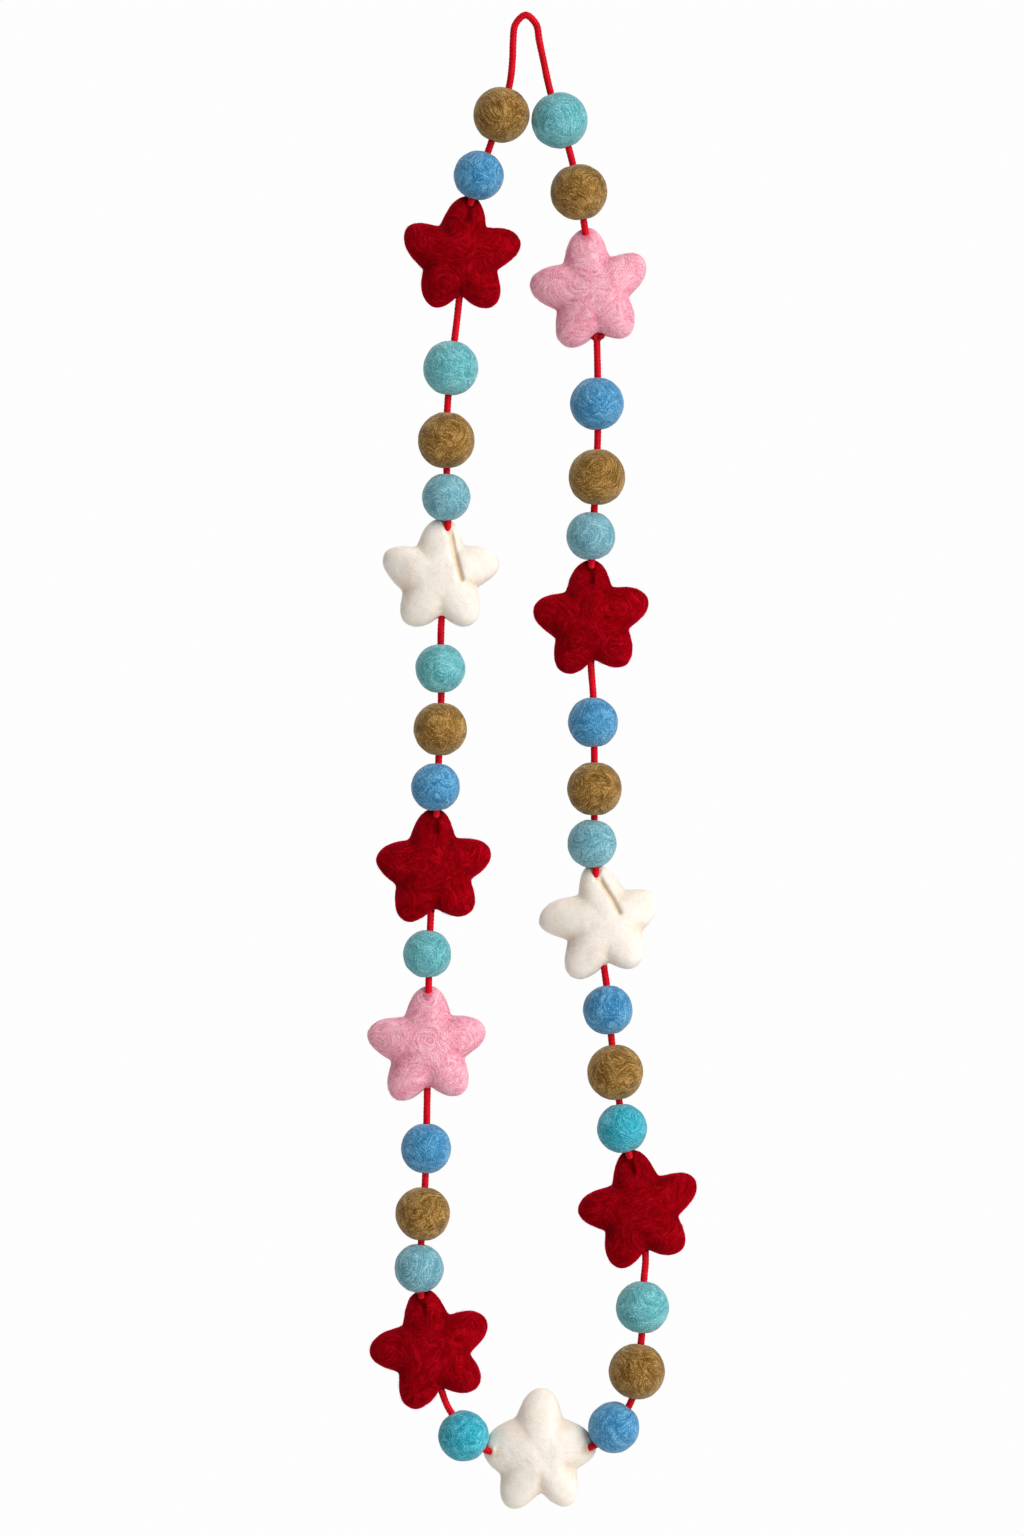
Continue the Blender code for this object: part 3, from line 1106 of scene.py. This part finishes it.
@dataclass
class FeltBall(FeltBead):
    """A felt ball with the cord's hole through it.

    Attributes:
        diameter: over the felt.
        columns, rows: faces round the hole, and from one end of it to the other.
        hole: the hole's radius.
        pinch: how far the felt is drawn in at the hole.
    """

    diameter: float = 24 * MM
    columns: int = 64
    rows: int = 36
    hole: float = 1.75 * MM
    pinch: float = 0.45 * MM

    # How far from the hole the felt is drawn in, and how many rings line the hole.
    DRAWN_IN: ClassVar[float] = 2.6 * MM
    LINING: ClassVar[int] = 8

    def shape(self) -> Form:
        """Rings from the hole's top round the ball to its bottom, and back up inside."""
        centre, radius = np.array(middle_of(self.node)), self.diameter / 2
        inside = self.route.within(Vector(centre), radius)
        top, bottom = (unit(inside[end] - centre) for end in (0, -1))
        axis = unit(top - bottom)
        front = np.array((0.0, 1.0, 0.0))
        side = np.cross(front, axis)

        turn = np.arange(self.columns) / self.columns * math.tau
        ring = np.cos(turn)[:, None] * side + np.sin(turn)[:, None] * front
        edge = math.asin(self.hole / radius)
        fall = np.linspace(edge, math.pi - edge, self.rows)[:, None, None]
        shift = np.cos(fall / 2) ** 2 * (top - axis) + np.sin(fall / 2) ** 2 * (bottom + axis)
        out = unit(np.cos(fall) * axis + np.sin(fall) * ring[None] + shift)
        from_hole = radius * np.minimum(fall, math.pi - fall)
        depth = radius - self.pinch * faded(from_hole, self.DRAWN_IN, 2)
        skin = self.lumped((centre + out * depth).reshape(-1, 3), out.reshape(-1, 3))

        down = inside[np.linspace(len(inside) - 3, 2, self.LINING).astype(int)]
        tunnel = (down[:, None] + ring[None] * self.hole).reshape(-1, 3)
        faces = grid_faces(self.rows + len(down), self.columns)
        last = (self.rows + len(down) - 1) * self.columns
        close = np.arange(self.columns)
        after = (close + 1) % self.columns
        seam = np.stack([last + close, last + after, after, close], 1)
        points, faces = np.concatenate([skin, tunnel]), np.concatenate([faces, seam])
        # Painted shade round the cord's hole, fading out over the drawn-in band.
        _, distance, _ = self.route.nearest(points, Vector(centre))
        return points, faces, 0.8 * faded(distance, self.DRAWN_IN, 4)

    def whorls(self, draw: np.random.Generator) -> list[Vector]:
        """A place on the front, a little up and to the right, and a few all round."""
        ways = [Vector((0.35, -0.85, 0.4))] + [Vector(draw.normal(size=3)) for _ in range(5)]
        middle = middle_of(self.node)
        return [middle + way.normalized() * self.diameter / 2 for way in ways]

    def layers(self) -> tuple[FibreLayer, ...]:
        """Long wound fibres, some curls and a few loose loops."""
        many = 1.6 if self.wool is Wool.TAN else 1.0
        return (
            FibreLayer(
                Lay.WOUND, round(150 * many), (4 * MM, 10 * MM), (0.1 * MM, 0.24 * MM),
                (0, 0.05 * MM), (0.05, 0.75),
            ),
            FibreLayer(
                Lay.CURLED, round(50 * many), (2.5 * MM, 6 * MM), (0.08 * MM, 0.18 * MM),
                (0, 0.08 * MM), (0.05, 0.65),
            ),
            FibreLayer(
                Lay.STRAY, 70, (2 * MM, 5 * MM), (0.04 * MM, 0.08 * MM),
                (0.15 * MM, 0.6 * MM), (0.3, 0.8), 6,
            ),
        )


@dataclass(frozen=True)
class Crease:
    """A trough pressed into the front of a star.

    Attributes:
        course: the places (side, up) that it passes, from the star's centre, in metres.
        width: across it.
        depth: at its deepest.
    """

    course: tuple[Place, ...]
    width: float
    depth: float


def read_out(form: bmesh.types.BMesh) -> tuple[np.ndarray, np.ndarray]:
    """The points and triangles of an edit mesh around a unit ball, which is freed."""
    form.verts.index_update()
    points = np.array([vert.co[:] for vert in form.verts])
    faces = np.array([[vert.index for vert in face.verts] for face in form.faces])
    form.free()
    return points, faces


@lru_cache
def unit_ball(subdivisions: int) -> tuple[np.ndarray, np.ndarray]:
    """The points and triangles of an even sphere of radius 1."""
    form = bmesh.new()
    bmesh.ops.create_icosphere(form, subdivisions=subdivisions, radius=1)
    return read_out(form)


@dataclass
class FeltStar(FeltBead):
    """A padded five-armed star of solid felt.

    Attributes:
        arms: each arm's clockwise angle in degrees and its reach, in metres.
        valleys: the same for the valley after each arm.
        turn: how far it is turned in its plane, in degrees.
        sideways: strung through its side arms instead of from its top arm down.
        creases: troughs across its front.
        crossing: how far the cord lies over the felt's front before it dives in.
        half_thickness: from its middle plane to its front.
        body_radius: the radius from which the arms grow.
        fullness: how blunt its rim is; less is blunter.
        valley_sharpness: how soon a valley turns into an arm.
        dent: how much thinner it is between two arms, as a share.
        lean: how far the top arm leans back, in degrees.
        hole: the radius of the cord's way through it.
        fineness: how often its mesh is subdivided.
        balls: the diameter of each ball that may rest on it, in metres, by CAD node.
        press: how far its felt keeps off such a ball.
    """

    arms: tuple[Place, ...] = ()
    valleys: tuple[Place, ...] = ()
    turn: float = 0
    sideways: bool = False
    creases: tuple[Crease, ...] = ()
    crossing: float = 4.5 * MM
    unevenness: float = 0.35 * MM
    half_thickness: float = 10.5 * MM
    body_radius: float = 21.5 * MM
    fullness: float = 0.85
    valley_sharpness: float = 0.8
    dent: float = 0.07
    lean: float = 6
    hole: float = 1.7 * MM
    fineness: int = 6
    balls: Mapping[str, float] = field(default_factory=dict)
    press: float = 0.3 * MM
    pose: np.ndarray = field(init=False)
    place: np.ndarray = field(init=False)

    # The red stars' groove: how far below where the cord dives in it starts and ends, how far
    # it lies to the side, its width and its depth.
    GROOVE_START: ClassVar[float] = 2.5 * MM
    GROOVE_END: ClassVar[float] = 10 * MM
    GROOVE_SIDE: ClassVar[float] = 0.3 * MM
    GROOVE_WIDTH: ClassVar[float] = 2.4 * MM
    GROOVE_DEPTH: ClassVar[float] = 1.0 * MM

    # Within these distances of the cord the mesh is made finer, once and then once more.
    FINER_WITHIN: ClassVar[Place] = (5.5 * MM, 3.6 * MM)

    # How wide the felt parts. Then, counted along the cord from where it dives in: where the
    # channel's bottom rises, where the channel ends, and where the felt is pressed off the cord.
    PARTED: ClassVar[float] = 2.4 * MM
    RISES: ClassVar[Place] = (-3.4 * MM, 0.4 * MM)
    CLOSES: ClassVar[Place] = (0.4 * MM, 2 * MM)
    GRIPS: ClassVar[Place] = (-0.8 * MM, 0.8 * MM)

    # How far behind the cord's middle the channel's bottom starts, how far it rises in all, how
    # sharply its sides fall back, and how far the felt is drawn forward at most.
    BEHIND: ClassVar[float] = 0.9 * MM
    CLIMB: ClassVar[float] = 2.75 * MM
    FALL_BACK: ClassVar[float] = 2.5 * MM
    FORWARD: ClassVar[float] = 1 * MM

    # How far the felt sinks by the cord, and within what distance.
    SINK: ClassVar[float] = 0.5 * MM
    SINK_WITHIN: ClassVar[float] = 3 * MM

    def __post_init__(self) -> None:
        """Works out how the star is turned, and where it hangs."""
        lean = 0 if self.sideways else self.lean
        turn = Matrix.Rotation(math.radians(self.turn), 3, "Y")
        self.pose = np.array(turn @ Matrix.Rotation(-math.radians(lean), 3, "X"))
        rough = self._drawn_out(unit_ball(5)[0]) @ self.pose.T
        low, high = (np.array(corner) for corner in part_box(self.node))
        self.place = (low + high) / 2 - (rough.min(0) + rough.max(0)) / 2
        self.place[2] = low[2] - rough[:, 2].min()

    def _outline(self, around: np.ndarray) -> Form:
        """The rim at shares of the way round.

        Args:
            around: the shares, from 0 to 1.

        Returns:
            The angles in radians, the reaches in metres, and how near each is to an arm's
            tip, from 0 in a valley to 1.
        """
        stops = np.array([stop for pair in zip(self.arms, self.valleys) for stop in pair])
        stops = np.vstack([stops, stops[0]])
        stops[:, 0] = np.rad2deg(np.unwrap(np.deg2rad(stops[:, 0])))
        place = (around % 1) * (len(stops) - 1)
        index = np.minimum(place.astype(int), len(stops) - 2)
        blend = place - index
        angle = stops[index, 0] + blend * (stops[index + 1, 0] - stops[index, 0])
        at_tip = index % 2 == 0
        tip = np.where(at_tip, stops[index, 1], stops[index + 1, 1])
        valley = np.where(at_tip, stops[index + 1, 1], stops[index, 1])
        nearness = 0.5 - 0.5 * np.cos(np.pi * np.where(at_tip, 1 - blend, blend))
        reach = valley + (tip - valley) * nearness**self.valley_sharpness
        return np.deg2rad(angle), reach, nearness

    def _drawn_out(self, ball: np.ndarray) -> np.ndarray:
        """The points of a unit ball, with its poles front and back, drawn out into a star."""
        side, depth, up = ball.T
        rim = np.hypot(side, up)
        angle, reach, nearness = self._outline(np.arctan2(side, up) / math.tau)
        spread = rim * (self.body_radius + (reach - self.body_radius) * rim)
        thick = np.sign(depth) * np.abs(depth) ** self.fullness * self.half_thickness
        thick *= 1 - self.dent * (1 - nearness) ** 2 * np.interp(rim, (0.4, 0.9), (0, 1))
        return np.stack([spread * np.sin(angle), thick, spread * np.cos(angle)], 1)

    def _placed(self, points: np.ndarray) -> np.ndarray:
        """The star's own points, turned and hung in their place."""
        return points @ self.pose.T + self.place

    def _cord(self) -> np.ndarray:
        """The points of the cord's line that lie near the star."""
        return self.route.within(Vector(self.place), NEAR)

    def _off_cord(self, points: np.ndarray) -> Form:
        """How the points lie to the cord, as CordRoute.nearest gives it."""
        return self.route.nearest(points, Vector(self.place))

    def _mouths(self) -> list[tuple[int, int]]:
        """Where the cord meets the felt's front.

        Returns:
            For each such place, its number among the near points of the cord's line, and
            1 or -1 for the direction in which those run into the star.
        """
        near = self._cord()
        low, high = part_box(self.node)
        edges = ((0, high.x, -1), (0, low.x, 1)) if self.sideways else ((2, high.z, -1),)
        found = []
        for axis, edge, inward in edges:
            start = int(np.abs(near[:, axis] - edge).argmin())
            onward = near[min(start + 4, len(near) - 1), axis] - near[max(start - 4, 0), axis]
            found.append((start, int(np.sign(onward)) * inward))
        return found

    def _groove(self) -> Crease:
        """The short groove that runs on from where the cord dives in."""
        near = self._cord()
        start, inward = self._mouths()[0]
        lengths = (self.crossing + self.GROOVE_START, self.GROOVE_END)
        ends = (near[start + inward * round(length / self.route.step)] for length in lengths)
        flat = [(end - self.place) @ self.pose for end in ends]
        course = tuple((spot[0] + self.GROOVE_SIDE, spot[2]) for spot in flat)
        return Crease(course, self.GROOVE_WIDTH, self.GROOVE_DEPTH)

    def _refined(self, creases: Sequence[Crease]) -> tuple[np.ndarray, np.ndarray]:
        """A unit ball with smaller faces where the cord goes in and out and along creases."""
        ball, faces = unit_ball(self.fineness)
        for reach in self.FINER_WITHIN:
            drawn = self._drawn_out(ball)
            _, distance, _ = self._off_cord(self._placed(drawn))
            near = distance < reach
            for crease in creases:
                near |= (self._off_crease(drawn, crease) < crease.width) & (drawn[:, 1] < 0)
            form = bmesh.new()
            verts = [form.verts.new(point) for point in ball]
            for face in faces:
                form.faces.new([verts[corner] for corner in face])
            form.verts.index_update()
            edges = [e for e in form.edges if near[e.verts[0].index] and near[e.verts[1].index]]
            bmesh.ops.subdivide_edges(form, edges=edges, cuts=1)
            bmesh.ops.triangulate(form, faces=form.faces)
            for vert in form.verts:
                vert.co.normalize()
            ball, faces = read_out(form)
        return ball, faces

    @staticmethod
    def _off_crease(points: np.ndarray, crease: Crease) -> np.ndarray:
        """How far points lie from the crease's course, seen from the front."""
        flat = points[:, [0, 2]]
        best = np.full(len(flat), np.inf)
        for start, end in zip(crease.course, crease.course[1:]):
            start, run = np.array(start), np.array(end) - np.array(start)
            share = ((flat - start) @ run / (run @ run)).clip(0, 1)
            best = np.minimum(best, np.linalg.norm(flat - start - share[:, None] * run, axis=1))
        return best

    def _opened(self, points: np.ndarray) -> np.ndarray:
        """The felt parted where the cord lies over its front, and pressed off the cord."""
        near = self._cord()
        index, _, _ = self._off_cord(points)
        heading = unit(np.gradient(near, axis=0)[index])
        along = ((points - near[index]) * heading).sum(1)
        axis = near[index] + along[:, None] * heading
        across = np.linalg.norm((points - axis)[:, [0, 2]], axis=1)
        free = np.zeros(len(points))
        for start, inward in self._mouths():
            run = ((index - start) * self.route.step + along) * inward - self.crossing
            rise = np.interp(run, self.RISES, (0, 1))
            part = faded(across, self.PARTED, 4) * np.interp(run, self.CLOSES, (1, 0))
            bottom = axis[:, 1] + self.BEHIND - rise * self.CLIMB - points[:, 1]
            opened = bottom - rise * across**2 / self.FALL_BACK
            covered = rise * bottom.clip(-self.FORWARD, 0)
            points[:, 1] += part * np.where(opened > 0, opened, covered)
            free = np.maximum(free, part * np.interp(run, self.GRIPS, (1, 0)))
        _, distance, away = self._off_cord(points)
        wanted = (distance**4 + self.hole**4) ** 0.25
        return points + away * ((wanted - distance) * (1 - free))[:, None]

    def _pressed(self, points: np.ndarray) -> np.ndarray:
        """The felt pressed in where the balls next to the star rest on it."""
        for node, diameter in self.balls.items():
            away = points - np.array(middle_of(node))
            distance = np.linalg.norm(away, axis=1)
            clear = np.maximum(distance, diameter / 2 + self.press)
            points = points + away * (clear / distance - 1)[:, None]
        return points

    def shape(self) -> Form:
        """The star, creased, lumped, opened round the cord and pressed in by the balls."""
        creases = (self._groove(),) if self.wool is Wool.RED else self.creases
        ball, faces = self._refined(creases)
        drawn = self._drawn_out(ball)
        # Each crease deepens the felt and gets painted shade along its trough.
        painted_shade = np.zeros(len(drawn))
        for crease in creases:
            trough = faded(self._off_crease(drawn, crease), crease.width / 2, 2)
            depth = np.where(drawn[:, 1] < 0, trough, 0)
            drawn[:, 1] += crease.depth * depth
            painted_shade = np.maximum(painted_shade, depth)
        out = unit((drawn / np.array((2.2, 1, 2.2))) @ self.pose.T)
        points = self.lumped(self._placed(drawn), out)
        _, distance, _ = self._off_cord(points)
        points -= out * (self.SINK * faded(distance, self.SINK_WITHIN, 2))[:, None]
        # Painted shade towards the rim of each valley and round the cord where it dives in.
        _, _, nearness = self._outline(np.arctan2(ball[:, 0], ball[:, 2]) / math.tau)
        rim = np.interp(np.hypot(ball[:, 0], ball[:, 2]), (0.4, 0.8), (0, 1))
        painted_shade = np.maximum(painted_shade, 0.35 * rim * (1 - nearness) ** 3)
        painted_shade = np.maximum(painted_shade, 0.9 * faded(distance, self.PARTED, 4))
        return self._pressed(self._opened(points)), faces, painted_shade

    def whorls(self, draw: np.random.Generator) -> list[Vector]:
        """The middle of each arm and of the star, front and back."""
        found = []
        for face in (-1, 1):
            for angle, reach in self.arms:
                out = 0.55 * reach
                turn = math.radians(angle)
                spot = (out * math.sin(turn), face * 6 * MM, out * math.cos(turn))
                found.append(spot + draw.normal(0, 1.5 * MM, 3))
            found.append(np.array((0, face * 10 * MM, 0)) + draw.normal(0, 2.5 * MM, 3))
        return [Vector(self._placed(spot)) for spot in found]

    def layers(self) -> tuple[FibreLayer, ...]:
        """Wound fibres, many curls, and loose loops that soften the outline."""
        many = {Wool.WHITE: 0.15, Wool.RED: 1.2}.get(self.wool, 0.8)
        return (
            FibreLayer(
                Lay.WOUND, round(200 * many), (4 * MM, 10 * MM), (0.08 * MM, 0.2 * MM),
                (0, 0.05 * MM), (0.05, 0.75), 8,
            ),
            FibreLayer(
                Lay.CURLED, round(240 * many), (2.5 * MM, 6 * MM), (0.08 * MM, 0.18 * MM),
                (0, 0.1 * MM), (0.05, 0.8),
            ),
            FibreLayer(
                Lay.STRAY, round(260 * many), (2 * MM, 5 * MM), (0.04 * MM, 0.08 * MM),
                (0.2 * MM, 0.9 * MM), (0.3, 1.0), 6,
            ),
        )


# ---------------------------------------------------------------- studio


@dataclass(frozen=True)
class Studio:
    """A plain pale floor, soft light and a camera straight in front.

    Attributes:
        view_height: how much of the garland's plane the picture is tall.
        distance: from the camera to the garland.
        aim: how far the picture's middle lies to the side of and above the garland's.
        floor_drop: how far the floor lies below the garland.
        floor_side: the floor's width and depth.
        fill: the strength of the even light from all sides.
        key: the strength of the main light, from above on the right.
        back: the strength of the second light, from above on the left.
    """

    view_height: float = 0.6912
    distance: float = 5.0
    aim: Place = (-9.25 * MM, -3.5 * MM)
    floor_drop: float = 0.8
    floor_side: float = 20
    fill: float = 0.17
    key: float = 3.25
    back: float = 1.5

    SENSOR: ClassVar[float] = 36
    FAR: ClassVar[float] = 100
    WHITE: ClassVar[Colour] = (0.985, 0.985, 0.985)
    FLOOR: ClassVar[Colour] = (0.82, 0.82, 0.81)

    def camera(self) -> None:
        """Sets up the camera."""
        low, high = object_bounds()
        middle = (low + high) / 2
        lens = bpy.data.cameras.new("camera")
        lens.sensor_width = self.SENSOR
        lens.lens = lens.sensor_width * self.distance / self.view_height
        lens.clip_end = self.FAR
        camera = bpy.data.objects.new("camera", lens)
        camera.location = (middle.x + self.aim[0], -self.distance, middle.z + self.aim[1])
        camera.rotation_euler = (math.pi / 2, 0, 0)
        bpy.context.scene.collection.objects.link(camera)
        bpy.context.scene.camera = camera

    def light(self) -> None:
        """Sets up the lights and the even white surroundings."""
        for name, strength, spread, source in (
            ("key_light", self.key, 55, Vector((0.65, -0.58, 0.48))),
            ("back_light", self.back, 50, Vector((-0.6, 0.7, 0.9))),
        ):
            lamp = bpy.data.lights.new(name, "SUN")
            lamp.energy = strength
            lamp.angle = math.radians(spread)
            holder = bpy.data.objects.new(name, lamp)
            holder.rotation_euler = source.to_track_quat("Z", "Y").to_euler()
            bpy.context.scene.collection.objects.link(holder)
        world = bpy.data.worlds.new("surroundings")
        world.use_nodes = True
        bench = NodeBench(world.node_tree)
        seen = bench.add("ShaderNodeLightPath", output="Is Camera Ray")
        strength = self.fill + seen * (1 - self.fill)
        sockets = {"Color": self.WHITE, "Strength": strength}
        white = bench.add("ShaderNodeBackground", {}, sockets)
        bench.add("ShaderNodeOutputWorld", {}, {"Surface": white})
        bpy.context.scene.world = world
        bpy.context.scene.view_settings.view_transform = "Standard"

    def floor(self) -> None:
        """Lays the floor, which isn't part of the garland."""
        low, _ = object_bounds()
        half, level = self.floor_side / 2, low.z - self.floor_drop
        material, bench = new_material("pale_floor")
        bench.surface({"Base Color": self.FLOOR, "Roughness": 0.9})
        corners = np.array([
            (-half, -half, level), (half, -half, level), (half, half, level), (-half, half, level),
        ])
        add_piece("floor", corners, [[0, 1, 2, 3]], material)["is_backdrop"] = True


# ---------------------------------------------------------------- the garland

ROUTE = CordRoute((
    (0.0321, -0.1457), (0.0324, -0.1600), (0.0324, -0.1893), (0.0309, -0.2202),
    (0.0297, -0.2438), (0.0294, -0.2900), (0.0304, -0.3046), (0.0309, -0.3316),
    (0.0309, -0.3594), (0.0315, -0.3824), (0.0351, -0.4252), (0.0365, -0.4356),
    (0.0387, -0.4598), (0.0421, -0.4872), (0.0464, -0.5102), (0.0539, -0.5556),
    (0.0532, -0.5682), (0.0520, -0.5950), (0.0470, -0.6233), (0.0304, -0.6424),
    (-0.0177, -0.6442), (-0.0330, -0.6280), (-0.0376, -0.6181), (-0.0472, -0.5727),
    (-0.0470, -0.5507), (-0.0452, -0.5232), (-0.0444, -0.4900), (-0.0436, -0.4333),
    (-0.0428, -0.4060), (-0.0401, -0.3563), (-0.0391, -0.3331), (-0.0380, -0.3056),
    (-0.0381, -0.2760), (-0.0350, -0.2249), (-0.0355, -0.2033), (-0.0351, -0.1736),
    (-0.0309, -0.1355), (-0.0241, -0.0805), (-0.0159, -0.0570), (-0.0074, -0.0305),
    (-0.0059, -0.0183), (-0.0056, -0.0098), (-0.0046, -0.0026), (0.0000, 0.0016),
    (0.0047, -0.0026), (0.0061, -0.0098), (0.0079, -0.0183), (0.0112, -0.0332),
    (0.0202, -0.0613), (0.0262, -0.0915), (0.0321, -0.1405),
))

# Each ball's diameter in millimetres, by its CAD node.
BALLS = {
    "ball_01_blue": 24.0, "ball_02_tan": 25.5, "ball_03_pale_blue": 22.1,
    "ball_04_blue": 22.6, "ball_05_tan": 24.6, "ball_06_pale_blue": 22.0,
    "ball_07_blue": 22.5, "ball_08_tan": 25.2, "ball_09_cyan": 22.4,
    "ball_10_teal": 23.8, "ball_11_tan": 25.4, "ball_12_blue": 23.2,
    "ball_13_cyan": 23.0, "ball_14_pale_blue": 22.2, "ball_15_tan": 24.6,
    "ball_16_blue": 22.7, "ball_17_teal": 21.8, "ball_18_blue": 21.9,
    "ball_19_tan": 24.1, "ball_20_teal": 22.5, "ball_21_pale_blue": 21.8,
    "ball_22_tan": 25.7, "ball_23_teal": 24.8, "ball_24_blue": 22.5,
    "ball_25_tan": 25.3, "ball_26_teal": 25.4, "ball_27_tan": 25.6,
}

# Each star's turn in degrees and its arms, as (clockwise angle in degrees, reach in millimetres).
STARS = {
    "star_01_red": (-1.6, ((0, 28.3), (68, 26.4), (145, 24.2), (214, 26.7), (285, 27.5))),
    "star_02_white": (-1.7, ((-13, 27.8), (62, 25.6), (147, 23.2), (215, 28.2), (275, 30.4))),
    "star_03_red": (-6.1, ((-6, 28.8), (63, 27.8), (140, 24.6), (212, 27.5), (278, 29.0))),
    "star_04_white": (0.0, ((2, 29.4), (82, 25.2), (151, 26.8), (211, 28.1), (273, 25.6))),
    "star_05_red": (-9.5, ((-2, 28.7), (67, 27.2), (139, 25.1), (213, 27.8), (279, 29.4))),
    "star_06_pink": (2.6, ((-4, 28.4), (66, 26.0), (143, 25.1), (214, 28.0), (282, 28.9))),
    "star_07_red": (1.5, ((-3, 28.0), (68, 26.0), (142, 24.4), (212, 26.7), (281, 27.5))),
    "star_08_white": (2.6, ((-2, 27.3), (69, 26.5), (146, 24.6), (216, 26.2), (290, 28.3))),
    "star_09_red": (6.0, ((1, 28.7), (65, 26.6), (142, 25.1), (211, 26.1), (291, 29.3))),
    "star_10_pink": (-5.4, ((-1, 29.3), (62, 27.2), (147, 25.1), (213, 27.5), (284, 29.0))),
}
SIDEWAYS_STAR = "star_04_white"
VALLEYS = ((30, 17.9), (103, 16.2), (179, 17.5), (249, 19.0), (318, 18.8))

# Stars whose valleys differ from the others'.
OWN_VALLEYS = {
    SIDEWAYS_STAR: ((34, 18.8), (114, 18.2), (179, 18.2), (243, 20.4), (324, 19.6)),
    "star_10_pink": ((30, 17.9), (103, 16.2), (179, 19.0), (249, 19.0), (318, 18.8)),
}

# How far the cord lies over the stars before it dives in, in millimetres.
CROSSINGS = {Wool.RED: 3.6, Wool.PINK: 3.4, Wool.WHITE: 5.4}
SIDEWAYS_CROSSING = 3.8

# The long folds beside the cord on two of the white stars, as places (side, up), and how wide
# and deep they are, all in millimetres.
FOLD_WIDTH, FOLD_DEPTH = 2.6, 1.8
FOLDS = {
    "star_02_white": ((-2.6, 20.5), (0.0, 15.5), (3.2, 10.0), (5.7, 4.5)),
    "star_08_white": ((2.4, 20.5), (5.0, 10.0), (8.2, -1.0)),
}


def wool_of(node: str) -> Wool:
    """The dye that a node's name ends in."""
    return Wool[node.split("_", 2)[2].upper()]


def in_metres(places: Sequence[Place]) -> tuple[Place, ...]:
    """Places (side, up) in millimetres, in metres."""
    return tuple((side * MM, up * MM) for side, up in places)


def make_star(node: str) -> FeltStar:
    """The star that stands for a node, from the tables above."""
    turn, arms = STARS[node]
    valleys = OWN_VALLEYS.get(node, VALLEYS)
    sideways = node == SIDEWAYS_STAR
    creases = ()
    if node in FOLDS:
        creases = (Crease(in_metres(FOLDS[node]), FOLD_WIDTH * MM, FOLD_DEPTH * MM),)
    return FeltStar(
        node, wool_of(node), ROUTE,
        arms=tuple((angle, reach * MM) for angle, reach in arms),
        valleys=tuple((angle, reach * MM) for angle, reach in valleys),
        turn=turn, sideways=sideways, creases=creases,
        crossing=(SIDEWAYS_CROSSING if sideways else CROSSINGS[wool_of(node)]) * MM,
        balls={ball: diameter * MM for ball, diameter in BALLS.items()},
    )


def main() -> None:
    """Builds the studio, the cord, the beads and their fibres."""
    logging.basicConfig(level=logging.INFO, format="%(message)s")
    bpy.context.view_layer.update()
    studio = Studio()
    studio.camera()
    cord = TwistedCord(ROUTE, CORD_RED)
    tube = cord.build()
    knot = CordKnot(cord, SHADED_KNOT_RED).build()
    ROUTE.line()[0]
    ROUTE.length
    cord.line()
    log.info("cord: %.3f m long", ROUTE.length)
    for node, diameter in BALLS.items():
        FeltBall(node, wool_of(node), ROUTE, diameter=diameter * MM).build()
    for node in STARS:
        make_star(node).build()
    studio.light()
    studio.floor()


if __name__ == "__main__":
    main()
